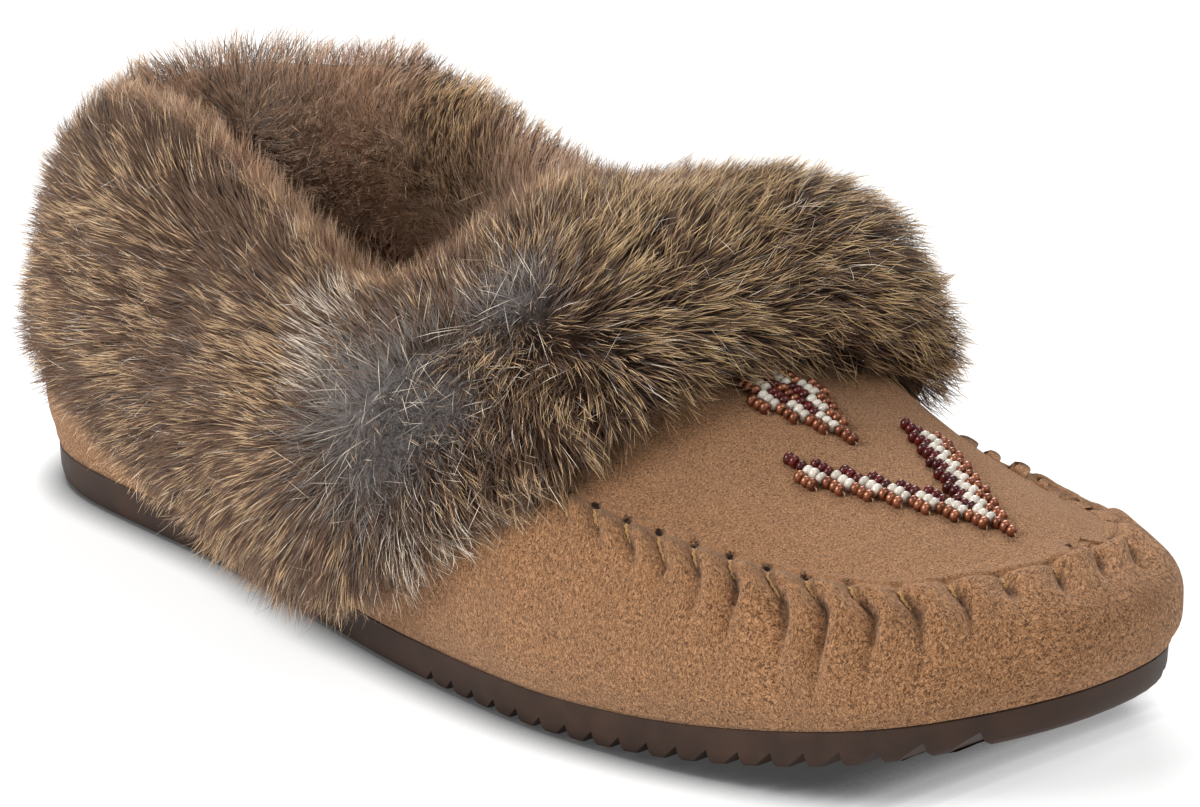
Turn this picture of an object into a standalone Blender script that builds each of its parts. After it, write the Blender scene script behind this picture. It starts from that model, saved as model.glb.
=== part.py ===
"""Moccasin slipper, right foot, with a folded fur cuff.

Metres, +Z up. The sole stands on z = 0, the toe points along -Y, the heel
along +Y, and the wearer's outer (lateral) side is -X. Four pieces, each one
closed solid: outsole, insole, upper and fur_cuff. Sizes below are in
millimetres and are turned into metres where a mesh is made.
"""

import bisect
import math

import bmesh
import bpy
from mathutils import Vector
from mathutils.bvhtree import BVHTree

# ---------------------------------------------------------------- sizes, mm
SOLE_LENGTH = 256.0
SOLE_THICKNESS = 7.5
TOE_SPRING = 11.5
SPRING_START = 0.67
TOE_THINNING = 1.6
ARCH_LIFT = 1.6
TOE_LEAN = 0.8
WALL = 2.0
FIT_GAP = 0.3
CUFF_GAP = 0.6
MARGIN = 7.0
INSOLE_THICKNESS = 3.4
INSOLE_INSET = 3.6
LINING_DEPTH = 6.0
LINING_REACH = 18.0

# How many stations run from heel to toe, and how far the spine of the last is
# drawn in from both ends so that the sections fan out round heel and toe.
STATIONS = 42
SPINE_SHARE = 0.70

# Half widths of the sole before its ends are rounded. Station 0 is the back
# of the heel and 1 the tip of the toe.
#           station lateral medial
OUTLINE = ((0.00, 26.5, 27.0),
           (0.08, 30.2, 30.4),
           (0.17, 31.4, 31.5),
           (0.30, 34.2, 30.6),
           (0.42, 40.0, 30.6),
           (0.55, 45.4, 35.8),
           (0.66, 47.2, 42.6),
           (0.76, 44.6, 44.8),
           (0.86, 39.0, 42.9),
           (0.94, 33.8, 39.5),
           (1.00, 25.0, 36.0))

# The wrap of the upper: how far it bulges over the sole, at what share of its
# height, and the shoulder where it turns in to the vamp or the ankle.
#       station bulge at in_lateral in_medial z_lateral z_medial squareness
WRAP = ((0.00, 2.3, 0.25, 30.0, 30.0, 80.0, 80.0, 1.3),
        (0.20, 2.3, 0.26, 22.0, 20.0, 76.0, 76.0, 1.4),
        (0.42, 3.0, 0.30, 26.0, 16.0, 64.0, 64.0, 1.4),
        (0.55, 3.2, 0.34, 19.0, 14.0, 51.0, 50.0, 1.6),
        (0.66, 3.2, 0.40, 11.0, 11.0, 42.0, 39.4, 1.9),
        (0.76, 3.2, 0.45, 9.5, 9.0, 38.3, 34.3, 2.0),
        (0.88, 2.8, 0.45, 9.5, 10.0, 35.8, 32.6, 2.1),
        (1.00, 1.9, 0.45, 11.5, 11.5, 35.8, 35.8, 2.1))

# The top line of the last along its spine: side shift, height, and how full
# the vamp is between shoulder and spine.
#           y      x    height fullness
SPINE = ((-90.0, 2.8, 40.6, 2.3),
         (-70.0, 2.8, 45.0, 2.4),
         (-55.0, 2.4, 49.2, 2.3),
         (-40.0, 1.8, 53.4, 2.1),
         (-20.0, 1.0, 60.5, 1.9),
         (5.0, 0.0, 71.0, 1.9),
         (35.0, 0.0, 88.0, 2.0),
         (65.0, 0.0, 97.0, 2.0),
         (90.0, 0.0, 96.0, 2.0))

# The collar line of the suede, seen from the side.
#             y     height
COLLAR = ((-30.0, 92.0),
          (-14.0, 71.0),
          (-8.0, 63.5),
          (-2.0, 56.5),
          (5.0, 50.5),
          (14.0, 48.5),
          (30.0, 51.0),
          (48.0, 54.5),
          (62.0, 59.0),
          (80.0, 62.0),
          (112.0, 62.0),
          (135.0, 61.0))

# The fur cuff, by station round the collar: 0 at the back of the heel, then
# the lateral side, 0.5 at the throat, and back along the medial side. Each row
# has the length of the folded flap, its depth at the top, middle and low end,
# and the crest over the collar.
#        station flap  top middle low crest crest_out
CUFF = ((0.00, 34.0, 11.0, 7.0, 3.5, 13.0, 0.0),
        (0.05, 36.0, 11.0, 8.0, 4.5, 14.5, 0.5),
        (0.10, 38.0, 11.0, 9.0, 5.5, 18.0, 1.5),
        (0.18, 43.0, 13.0, 12.0, 8.0, 20.0, 2.5),
        (0.25, 43.0, 13.0, 13.0, 9.0, 19.0, 3.0),
        (0.33, 40.0, 14.0, 14.0, 9.5, 16.5, 3.5),
        (0.39, 41.0, 14.0, 15.0, 10.5, 14.0, 4.0),
        (0.44, 48.0, 17.0, 18.0, 12.0, 16.0, 6.0),
        (0.50, 40.0, 20.0, 25.0, 13.0, 19.0, 8.0),
        (0.56, 48.0, 23.0, 30.0, 16.0, 20.0, 9.0),
        (0.61, 45.0, 20.0, 27.0, 15.0, 19.0, 8.0),
        (0.66, 39.0, 17.0, 20.0, 12.0, 20.0, 5.0),
        (0.75, 42.0, 14.0, 14.0, 9.0, 24.5, 3.0),
        (0.84, 44.0, 13.0, 12.0, 8.0, 22.0, 2.5),
        (0.91, 38.0, 11.0, 9.0, 5.5, 18.0, 1.5),
        (0.96, 36.0, 11.0, 8.0, 4.5, 14.5, 0.5),
        (1.00, 34.0, 11.0, 7.0, 3.5, 13.0, 0.0))
CUFF_STATIONS = 60
CHORD_RELIEF = 240.0

# Finding the collar on the last: rays round it from a point on the foot's
# axis, narrower across than along, and how strongly a turn draws stations in.
COLLAR_MIDDLE_Y = 48.0
COLLAR_SLIMNESS = 0.45
COLLAR_REACH = 90.0
HALVINGS = 32
FINE_STEPS = 720
TURN_SPREAD = 14
TURN_WEIGHT = 30.0

# The sweep that follows the last down from the collar.
PIVOT_IN = 22.0
PIVOT_DOWN = 30.0
SWEEP_ANGLE = math.radians(1.6)
SWEEP_STEPS = 80
FLAP_POINTS = 9
LINING_POINTS = 4
LOW_EDGE_OVERHANG = 3.0
SADDLE_LIFT = 1.4

# Soft hills and dips of the folded pelt: middle, reach and shift. Points that
# face the suede follow by a smaller share.
#        x      y      z    reach  dx     dy     dz
HILLS = ((37.0, -42.0, 62.0, 24.0, 1.5, -9.5, 4.5),
         (46.0, -44.0, 41.0, 14.0, -1.0, -7.5, 0.3),
         (10.0, -13.0, 83.0, 12.0, 0.0, 0.0, -5.5),
         (6.0, 104.0, 80.0, 15.0, 0.0, 0.0, 2.0),
         (20.0, 62.0, 68.0, 15.0, -4.0, -2.0, 0.5))
SUEDE_SIDE_SHARE = 0.35

# Points of a cuff section that face the suede: the lining back starts at one
# row, and the saddle over the collar's edge is another.
LINING_ROW = 16
SADDLE_ROW = 19
CLEAR_ROUNDS = 4
WALL_CLEARANCE = 0.45

# Sawtooth lugs across the front of the sole, and short ones under the heel.
LUG_DEPTH = 3.0
LUG_WIDTH = 4.2
LUG_STEEP = 0.35
LUG_PITCH = 5.7
FRONT_LUGS = (-18.0, -122.0)
HEEL_LUGS = (108.0, 76.0)
HEEL_LUG_PITCH = 8.0
HEEL_LUG_HALF_WIDTH = 19.0

# A height above the whole shoe, and a width that cutters pass it by.
SKY = 140.0
CUTTER_HALF_WIDTH = 70.0

MM = 0.001


# ------------------------------------------------------------------ helpers
def read_table(rows, at):
    """Row of a table at any value of its first column, by a smooth cubic."""
    keys = [row[0] for row in rows]
    at = min(max(at, keys[0]), keys[-1])
    right = min(max(bisect.bisect_right(keys, at), 1), len(keys) - 1)
    left = right - 1
    span = keys[right] - keys[left]
    t = (at - keys[left]) / span
    values = []
    for column in range(1, len(rows[0])):
        start = rows[left][column]
        end = rows[right][column]
        slope_start = table_slope(rows, left, column) * span
        slope_end = table_slope(rows, right, column) * span
        values.append((2 * t**3 - 3 * t**2 + 1) * start + (t**3 - 2 * t**2 + t) * slope_start
                      + (3 * t**2 - 2 * t**3) * end + (t**3 - t**2) * slope_end)
    return values


def table_slope(rows, index, column):
    """Slope of a table column at one of its rows, flat at a turning point."""
    if index in (0, len(rows) - 1):
        other = 1 if index == 0 else len(rows) - 2
        return (rows[other][column] - rows[index][column]) / (rows[other][0] - rows[index][0])
    before = (rows[index][column] - rows[index - 1][column]) / (rows[index][0] - rows[index - 1][0])
    after = (rows[index + 1][column] - rows[index][column]) / (rows[index + 1][0] - rows[index][0])
    if before * after <= 0:
        return 0.0
    return 2 * before * after / (before + after)


def station_of(y):
    """Station along the sole of a length coordinate: 0 at the heel, 1 at the toe."""
    return 0.5 - y / SOLE_LENGTH


def spring(y):
    """Height that the toe spring gives the sole at a length coordinate."""
    past = max(station_of(y) - SPRING_START, 0.0) / (1.0 - SPRING_START)
    return TOE_SPRING * past**2


def under_lift(x, y):
    """Height of the underside: toe spring, thinner toe, and the medial arch."""
    past = max(station_of(y) - SPRING_START, 0.0) / (1.0 - SPRING_START)
    along = max(0.0, 1.0 - ((station_of(y) - 0.40) / 0.14)**2)
    across = min(max((x + 5.0) / 30.0, 0.0), 1.0)
    return spring(y) + TOE_THINNING * past**2 + ARCH_LIFT * along**2 * across


def make_object(name, vertices, faces, material):
    """Mesh object from millimetre points, with its normals facing out."""
    mesh = bpy.data.meshes.new(name)
    mesh.from_pydata([(x * MM, y * MM, z * MM) for x, y, z in vertices], [], faces)
    work = bmesh.new()
    work.from_mesh(mesh)
    bmesh.ops.remove_doubles(work, verts=work.verts, dist=0.02 * MM)
    bmesh.ops.recalc_face_normals(work, faces=work.faces)
    work.to_mesh(mesh)
    work.free()
    mesh.materials.append(material)
    made = bpy.data.objects.new(name, mesh)
    return made


def finish_smooth(made, degrees=40.0):
    """Smooth shading with sharp edges kept where faces meet at a corner."""
    made.data.shade_smooth()
    made.data.set_sharp_from_angle(angle=math.radians(degrees))


def make_material(name, colour, roughness):
    """Plain Principled material."""
    material = bpy.data.materials.new(name)
    material.use_nodes = True
    shader = material.node_tree.nodes["Principled BSDF"]
    shader.inputs["Base Color"].default_value = (*colour, 1.0)
    shader.inputs["Roughness"].default_value = roughness
    shader.inputs["Metallic"].default_value = 0.0
    return material


# ------------------------------------------------------------- plan outline
def sole_columns():
    """Columns round the sole, as (edge x, edge y, inward x, inward y, reach).

    Each column starts on the outline and runs inwards to the spine of the
    last. Lateral and medial columns of one station share their spine point.
    Order: heel tip, lateral side to the toe tip, medial side back.
    """
    stations = [(1 - math.cos(math.pi * k / STATIONS)) / 2 for k in range(STATIONS + 1)]

    def column(station, side):
        lateral, medial = read_table(OUTLINE, station)
        rounding = math.sqrt(max(0.0, 1.0 - (2 * station - 1)**10))
        y = SOLE_LENGTH * (0.5 - station)
        edge_x = rounding * (medial if side > 0 else -lateral)
        spine_y = SPINE_SHARE * y
        spine_x = read_table(SPINE, spine_y)[0]
        run_x = spine_x - edge_x
        run_y = spine_y - y
        reach = math.hypot(run_x, run_y)
        return edge_x, y, run_x / reach, run_y / reach, reach

    lateral_side = [column(station, -1) for station in stations]
    medial_side = [column(station, 1) for station in reversed(stations[1:-1])]
    return lateral_side + medial_side


def ring_mesh(columns, rows_of_column):
    """Vertices and quads of a sheet with one strip of points per column."""
    vertices = []
    for column in columns:
        edge_x, edge_y, in_x, in_y, _ = column
        for inward, height in rows_of_column(column):
            vertices.append((edge_x + in_x * inward, edge_y + in_y * inward, height))
    depth = len(vertices) // len(columns)
    faces = []
    for k in range(len(columns)):
        here = k * depth
        there = (k + 1) % len(columns) * depth
        for row in range(depth - 1):
            faces.append((here + row, there + row, there + row + 1, here + row + 1))
    return vertices, faces


# ------------------------------------------------------------------ outsole
def outsole_rows(column):
    """Closed section of the outsole: underside, rounded edge, side and top."""
    edge_x, edge_y, in_x, in_y, reach = column

    def under(inward):
        x = edge_x + in_x * inward
        y = edge_y + in_y * inward
        return under_lift(x, y)

    def top(inward):
        return spring(edge_y + in_y * inward) + SOLE_THICKNESS

    rows = [(reach * share, under(reach * share)) for share in (1.0, 0.66, 0.33)]
    rows += [(2.4, under(2.4)), (1.3, under(1.3) + 0.3), (0.6, under(0.6) + 1.1)]
    rows += [(0.2, under(0.2) + 2.8), (0.0, top(0.0) - 0.5), (0.5, top(0.5))]
    rows += [(reach * share, top(reach * share)) for share in (0.5, 1.0)]
    return rows


def saw_prism(vertices, faces, y, half_width):
    """Three-sided bar across the sole, steep towards the toe."""
    base = len(vertices)
    below = under_lift(0.0, y) - 1.0
    tip = under_lift(0.0, y) + LUG_DEPTH
    toe_y = y - LUG_STEEP
    heel_y = y + LUG_WIDTH
    for x in (-half_width, half_width):
        vertices += [(x, toe_y, below), (x, heel_y, below), (x, y, tip)]
    faces += [(base, base + 1, base + 2), (base + 3, base + 5, base + 4),
              (base, base + 3, base + 4, base + 1),
              (base + 1, base + 4, base + 5, base + 2),
              (base + 2, base + 5, base + 3, base)]


def build_outsole(material, cutters):
    """Moulded sole with its sawtooth lugs cut into the underside."""
    vertices, faces = ring_mesh(sole_columns(), outsole_rows)
    outsole = make_object("outsole", vertices, faces, material)

    saw_vertices = []
    saw_faces = []
    y = FRONT_LUGS[0]
    while y > FRONT_LUGS[1]:
        saw_prism(saw_vertices, saw_faces, y, CUTTER_HALF_WIDTH)
        y -= LUG_PITCH
    y = HEEL_LUGS[0]
    while y > HEEL_LUGS[1]:
        saw_prism(saw_vertices, saw_faces, y, HEEL_LUG_HALF_WIDTH)
        y -= HEEL_LUG_PITCH
    saw = make_object("lug_cutter", saw_vertices, saw_faces, material)
    saw.hide_render = True
    saw.display_type = 'WIRE'
    cutters.objects.link(saw)

    cut = outsole.modifiers.new("lugs", 'BOOLEAN')
    cut.operation = 'DIFFERENCE'
    cut.solver = 'EXACT'
    cut.object = saw
    return outsole


# ------------------------------------------------------------------- insole
def insole_rows(column):
    """Closed section of the footbed, with a rounded top edge."""
    _, edge_y, _, in_y, reach = column
    rest = SOLE_THICKNESS + FIT_GAP + WALL + FIT_GAP

    def level(inward, lift):
        return inward, spring(edge_y + in_y * inward) + rest + lift

    rows = [level(reach, 0.0), level(reach * 0.5, 0.0), level(INSOLE_INSET + 0.3, 0.0)]
    rows += [level(INSOLE_INSET, 0.5), level(INSOLE_INSET + 0.2, INSOLE_THICKNESS - 0.9)]
    rows += [level(INSOLE_INSET + 1.4, INSOLE_THICKNESS)]
    rows += [level(reach * 0.5, INSOLE_THICKNESS), level(reach, INSOLE_THICKNESS)]
    return rows


def build_insole(material):
    """Footbed on the turned-in margin of the upper."""
    vertices, faces = ring_mesh(sole_columns(), insole_rows)
    return make_object("insole", vertices, faces, material)


# -------------------------------------------------------------------- upper
def last_rows(column):
    """Outer section of the last: margin, bulging wrap, shoulder, then vamp."""
    edge_x, edge_y, _, in_y, reach = column
    station = station_of(edge_y)
    row = read_table(WRAP, station)
    bulge, bulge_at, in_lateral, in_medial, z_lateral, z_medial, squareness = row
    shoulder_in = in_lateral if edge_x < 0 else in_medial
    shoulder_z = z_lateral if edge_x < 0 else z_medial
    _, crown, fullness = read_table(SPINE, edge_y + in_y * reach)
    seat = spring(edge_y) + SOLE_THICKNESS + FIT_GAP
    bulge_z = seat + bulge_at * (shoulder_z - seat)
    lean = TOE_LEAN * max(in_y, 0.0)

    rows = [(MARGIN, spring(edge_y + in_y * MARGIN) + SOLE_THICKNESS + FIT_GAP)]
    rows += [(0.8, seat), (-0.7, seat + 1.0)]
    rows += [(-0.72 * bulge - 0.2, seat + 0.35 * (bulge_z - seat))]
    for turn in (0.0, 0.3, 0.55, 0.78, 1.0):
        angle = turn * math.pi / 2
        power = 2.0 / squareness
        inward = shoulder_in - (shoulder_in + bulge) * math.cos(angle)**power
        height = bulge_z + (shoulder_z - bulge_z) * math.sin(angle)**power
        rows.append((inward, height))
    for share in (0.14, 0.34, 0.6, 1.0):
        rise = lean * share + (1.0 - lean) * (1.0 - (1.0 - share)**fullness)
        rows.append((shoulder_in + (reach - shoulder_in) * share,
                     shoulder_z + (crown - shoulder_z) * rise))
    return rows


def build_last(material):
    """Closed-over outer form of the foot, from which upper and cuff are made."""
    vertices, faces = ring_mesh(sole_columns(), last_rows)
    last = make_object("last", vertices, faces, material)
    work = bmesh.new()
    work.from_mesh(last.data)
    bmesh.ops.triangulate(work, faces=work.faces)
    work.to_mesh(last.data)
    work.free()
    return last


def collar_height(y):
    """Height of the suede's collar line at a length coordinate."""
    return read_table(COLLAR, y)[0]


def build_upper(last, material, cutters):
    """Suede shell: the last's surface made WALL thick and cut at the collar."""
    upper = bpy.data.objects.new("upper", last.data.copy())
    shell = upper.modifiers.new("wall", 'SOLIDIFY')
    shell.thickness = WALL * MM
    shell.offset = -1.0

    line = [(y, collar_height(y)) for y in range(-30, 136, 3)]
    profile = [(line[0][0], SKY)] + line + [(line[-1][0], SKY)]
    half = CUTTER_HALF_WIDTH
    vertices = [(-half, y, z) for y, z in profile] + [(half, y, z) for y, z in profile]
    count = len(profile)
    faces = [tuple(range(count)), tuple(range(2 * count - 1, count - 1, -1))]
    faces += [(k, (k + 1) % count, (k + 1) % count + count, k + count) for k in range(count)]
    cutter = make_object("collar_cutter", vertices, faces, material)
    cutter.hide_render = True
    cutter.display_type = 'WIRE'
    cutters.objects.link(cutter)

    cut = upper.modifiers.new("collar", 'BOOLEAN')
    cut.operation = 'DIFFERENCE'
    cut.solver = 'EXACT'
    cut.object = cutter
    return upper


# ----------------------------------------------------------------- fur cuff
def collar_path(tree):
    """Stations round the collar line, heel back first, lateral side next.

    Returned as (point, outward direction, share of the way round). They stand
    closer together where the line turns, so that the folds fan out evenly.
    """
    fine = []
    for k in range(FINE_STEPS):
        angle = 2 * math.pi * k / FINE_STEPS
        direction = Vector((-math.sin(angle) * COLLAR_SLIMNESS, math.cos(angle), 0.0))
        inner = 0.0
        outer = COLLAR_REACH
        for _ in range(HALVINGS):
            probe = (inner + outer) / 2
            x = direction.x * probe
            y = COLLAR_MIDDLE_Y + direction.y * probe
            hit = tree.ray_cast(Vector((x, y, SKY)), Vector((0.0, 0.0, -1.0)))[0]
            inside = hit is not None and hit.z > collar_height(y)
            if inside:
                inner = probe
            else:
                outer = probe
        y = COLLAR_MIDDLE_Y + direction.y * inner
        fine.append(Vector((direction.x * inner, y, collar_height(y))))

    outwards = []
    for k in range(FINE_STEPS):
        along = fine[(k + TURN_SPREAD) % FINE_STEPS] - fine[k - TURN_SPREAD]
        outwards.append(Vector((along.y, -along.x, 0.0)).normalized())
    lengths = [0.0]
    weights = [0.0]
    for k in range(FINE_STEPS):
        following = (k + 1) % FINE_STEPS
        leg = (fine[following] - fine[k]).length
        lengths.append(lengths[-1] + leg)
        weights.append(weights[-1] + leg + TURN_WEIGHT * outwards[k].angle(outwards[following]))
    path = []
    for k in range(CUFF_STATIONS):
        target = weights[-1] * k / CUFF_STATIONS
        at = bisect.bisect_right(weights, target) - 1
        share = (target - weights[at]) / (weights[at + 1] - weights[at])
        following = (at + 1) % FINE_STEPS
        point = fine[at].lerp(fine[following], share)
        outward = outwards[at].lerp(outwards[following], share).normalized()
        way_round = (lengths[at] + (lengths[at + 1] - lengths[at]) * share) / lengths[-1]
        path.append((point, outward, way_round))
    return path


def last_section(tree, rim, outward, length, count):
    """Points down the last from the collar, in the upright plane along outward.

    They are seen from a pivot inside the shoe, on rays that sweep downwards.
    Returned as (out, height) pairs from the rim, spaced evenly over length.
    """
    pivot = rim - outward * PIVOT_IN
    pivot.z = rim.z - PIVOT_DOWN
    start = math.atan2(PIVOT_DOWN, PIVOT_IN)
    fine = [(0.0, rim.z)]
    for k in range(1, SWEEP_STEPS):
        angle = start - SWEEP_ANGLE * k
        direction = outward * math.cos(angle) + Vector((0.0, 0.0, math.sin(angle)))
        hit = tree.ray_cast(pivot, direction)[0]
        if hit is None or hit.z < SOLE_THICKNESS + 2.0:
            break
        fine.append(((hit - rim).dot(outward), hit.z))
    points = [fine[0]]
    walked = 0.0
    step = length / (count - 1)
    for before, after in zip(fine, fine[1:]):
        leg = math.hypot(after[0] - before[0], after[1] - before[1])
        while leg > 0 and walked + leg >= step * len(points) and len(points) < count:
            share = (step * len(points) - walked) / leg
            points.append((before[0] + (after[0] - before[0]) * share,
                           before[1] + (after[1] - before[1]) * share))
        walked += leg
    while len(points) < count:
        out, height = points[-1]
        back_out, back_height = points[-2]
        points.append((2 * out - back_out, 2 * height - back_height))
    return points


def section_normals(points):
    """Outward unit normals of a section that runs down the last."""
    normals = []
    for k in range(len(points)):
        before = points[max(k - 1, 0)]
        after = points[min(k + 1, len(points) - 1)]
        run = after[0] - before[0]
        rise = after[1] - before[1]
        size = math.hypot(run, rise)
        normals.append((-rise / size, run / size))
    return normals


def offset(points, normals, distance):
    """Points moved along their normals by a distance or a list of them."""
    if not isinstance(distance, (list, tuple)):
        distance = [distance] * len(points)
    return [(point[0] + normal[0] * away, point[1] + normal[1] * away)
            for point, normal, away in zip(points, normals, distance)]


def cuff_section(tree, rim, outward, row, step, fan):
    """Closed section of the cuff over the collar, as (out, height) pairs.

    The sections stand apart by step at the collar and fan out by an angle, so
    the gap to the upper grows with the chord between two of them.
    """
    flap, top_depth, middle_depth, low_depth, crest, crest_out = row
    down = last_section(tree, rim, outward, flap, FLAP_POINTS)
    normals = section_normals(down)
    inner_down = last_section(tree, rim, outward, LINING_REACH, LINING_POINTS)
    inner_normals = section_normals(inner_down)

    bend = ((0.0, top_depth), (0.45, middle_depth), (1.0, low_depth))
    depths = [read_table(bend, k / (FLAP_POINTS - 1))[0] for k in range(FLAP_POINTS)]
    outer_face = offset(down, normals, depths)
    gaps = [CUFF_GAP + (step + max(point[0], 0.0) * fan)**2 / CHORD_RELIEF for point in down]
    under_face = offset(down, normals, gaps)
    low_normal = normals[-1]
    low_step = (down[-1][0] - down[-2][0], down[-1][1] - down[-2][1])
    low_size = math.hypot(*low_step)
    low_run = (low_step[0] / low_size, low_step[1] / low_size)
    tip = tuple(down[-1][axis] + low_normal[axis] * depths[-1] * 0.5
                + low_run[axis] * LOW_EDGE_OVERHANG for axis in (0, 1))

    lining_back = offset(inner_down, inner_normals, -(WALL + CUFF_GAP))
    lining_face = offset(inner_down, inner_normals, -(WALL + CUFF_GAP + LINING_DEPTH))
    first = down[0]
    run = (down[1][0] - first[0], down[1][1] - first[1])
    size = math.hypot(*run)
    beyond = (-run[0] / size * SADDLE_LIFT, -run[1] / size * SADDLE_LIFT)
    saddle_out = (under_face[0][0] + beyond[0], under_face[0][1] + beyond[1])
    saddle_in = (lining_back[0][0] + beyond[0], lining_back[0][1] + beyond[1])

    shoulder = outer_face[0]
    crest_z = max(rim.z + crest, shoulder[1] + 0.5)
    crest_points = [(shoulder[0] * 0.85 + crest_out * 0.15, (shoulder[1] + crest_z) / 2),
                    (crest_out, crest_z),
                    (-LINING_DEPTH * 0.75, rim.z + (crest_z - rim.z) * 0.8),
                    (-LINING_DEPTH * 1.45, rim.z + (crest_z - rim.z) * 0.4)]
    section = [tip] + list(reversed(outer_face[1:])) + crest_points
    section += lining_face[1:] + list(reversed(lining_back[1:]))
    section += [saddle_in, saddle_out] + under_face[1:]
    return section


def clear_of_wall(tree, vertices, size):
    """Moves the faces that hug the suede until the whole of each quad clears it."""
    count = len(vertices) // size
    for _ in range(CLEAR_ROUNDS):
        for k in range(count):
            for j in range(LINING_ROW, size - 1):
                here = k * size + j
                there = (k + 1) % count * size + j
                corners = [vertices[n] for n in (here, there, there + 1, here + 1)]
                samples = [(corners[n - 1] + corners[n]) / 2 for n in range(4)]
                samples += [(corners[n - 2] + corners[n - 1] + corners[n]) / 3 for n in range(4)]
                for sample in samples:
                    nearest, normal = tree.find_nearest(sample)[:2]
                    away = (sample - nearest).dot(normal)
                    if j == SADDLE_ROW:
                        lack = collar_height(sample.y) + WALL_CLEARANCE - sample.z
                        normal = Vector((0.0, 0.0, 1.0))
                    elif j > SADDLE_ROW:
                        lack = WALL_CLEARANCE - away
                    else:
                        lack = away + WALL + WALL_CLEARANCE
                        normal = -normal
                    if lack > 0:
                        for corner in corners:
                            corner += normal * lack


def swell(vertices, size):
    """Shifts the points of the cuff by the hills, each a bell round its middle."""
    for n, vertex in enumerate(vertices):
        share = SUEDE_SIDE_SHARE if n % size >= LINING_ROW else 1.0
        start = vertex.copy()
        for x, y, z, reach, shift_x, shift_y, shift_z in HILLS:
            near = math.exp(-(start - Vector((x, y, z))).length_squared / reach**2)
            vertex += Vector((shift_x, shift_y, shift_z)) * near * share


def build_fur_cuff(last, material):
    """Fur folded over the collar: a ring of sections that ride on the last."""
    points = [vertex.co / MM for vertex in last.data.vertices]
    polygons = [tuple(polygon.vertices) for polygon in last.data.polygons]
    tree = BVHTree.FromPolygons(points, polygons)
    path = collar_path(tree)
    vertices = []
    count = len(path)
    for k, (rim, outward, way_round) in enumerate(path):
        before = path[k - 1]
        after = path[(k + 1) % count]
        fan = before[1].angle(after[1]) / 2
        step = (after[0] - before[0]).length / 2
        row = read_table(CUFF, way_round)
        for out, height in cuff_section(tree, rim, outward, row, step, fan):
            vertices.append(Vector((rim.x + outward.x * out, rim.y + outward.y * out, height)))
    size = len(vertices) // count
    swell(vertices, size)
    clear_of_wall(tree, vertices, size)
    faces = []
    for k in range(count):
        here = k * size
        there = (k + 1) % count * size
        for j in range(size):
            following = (j + 1) % size
            faces.append((here + j, there + j, there + following, here + following))
    return make_object("fur_cuff", vertices, faces, material)


# --------------------------------------------------------------------- main
def main():
    """Clears the scene and builds the four pieces of the slipper."""
    for old in list(bpy.data.objects):
        bpy.data.objects.remove(old, do_unlink=True)
    scene = bpy.context.scene
    slipper = bpy.data.collections.new("moccasin_slipper")
    cutters = bpy.data.collections.new("cutters")
    scene.collection.children.link(slipper)
    scene.collection.children.link(cutters)

    suede = make_material("suede", (0.344, 0.181, 0.096), 0.95)
    rubber = make_material("rubber", (0.050, 0.030, 0.022), 0.60)
    fur = make_material("fur", (0.170, 0.115, 0.075), 0.90)
    footbed = make_material("footbed", (0.300, 0.210, 0.140), 0.95)

    last = build_last(suede)
    outsole = build_outsole(rubber, cutters)
    insole = build_insole(footbed)
    upper = build_upper(last, suede, cutters)
    cuff = build_fur_cuff(last, fur)
    for piece in (outsole, insole, upper, cuff):
        slipper.objects.link(piece)
        finish_smooth(piece)
    bpy.data.objects.remove(last, do_unlink=True)


main()
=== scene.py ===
"""Looks of the moccasin slipper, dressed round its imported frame.

Metres, +Z up, toe towards -Y, wearer's outer side towards -X. Sizes in the
classes below are millimetres, and points leave them in metres.
"""

import logging
import math
from collections.abc import Iterator, Sequence
from contextlib import contextmanager
from dataclasses import dataclass
from enum import Enum

import bmesh
import bpy
import numpy as np
from mathutils import Matrix, Vector
from mathutils.bvhtree import BVHTree


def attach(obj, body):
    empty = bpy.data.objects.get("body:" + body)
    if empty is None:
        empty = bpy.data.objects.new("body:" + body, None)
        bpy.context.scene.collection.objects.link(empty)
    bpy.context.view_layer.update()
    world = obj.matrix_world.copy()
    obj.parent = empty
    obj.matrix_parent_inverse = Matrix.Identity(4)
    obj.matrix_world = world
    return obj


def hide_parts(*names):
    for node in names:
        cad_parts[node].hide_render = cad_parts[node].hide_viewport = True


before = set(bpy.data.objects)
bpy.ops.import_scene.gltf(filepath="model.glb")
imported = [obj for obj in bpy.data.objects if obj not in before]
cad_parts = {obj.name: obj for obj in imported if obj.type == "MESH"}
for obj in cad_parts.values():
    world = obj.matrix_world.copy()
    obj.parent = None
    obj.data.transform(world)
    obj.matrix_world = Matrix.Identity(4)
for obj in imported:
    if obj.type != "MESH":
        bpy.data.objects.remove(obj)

MM = 0.001
Array = np.ndarray
Point = tuple[float, float, float]
Spot = tuple[float, float, float, float]
Colour = tuple[float, float, float]
Socket = bpy.types.NodeSocket
Value = Socket | float | Colour
log = logging.getLogger("slipper")


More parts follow.
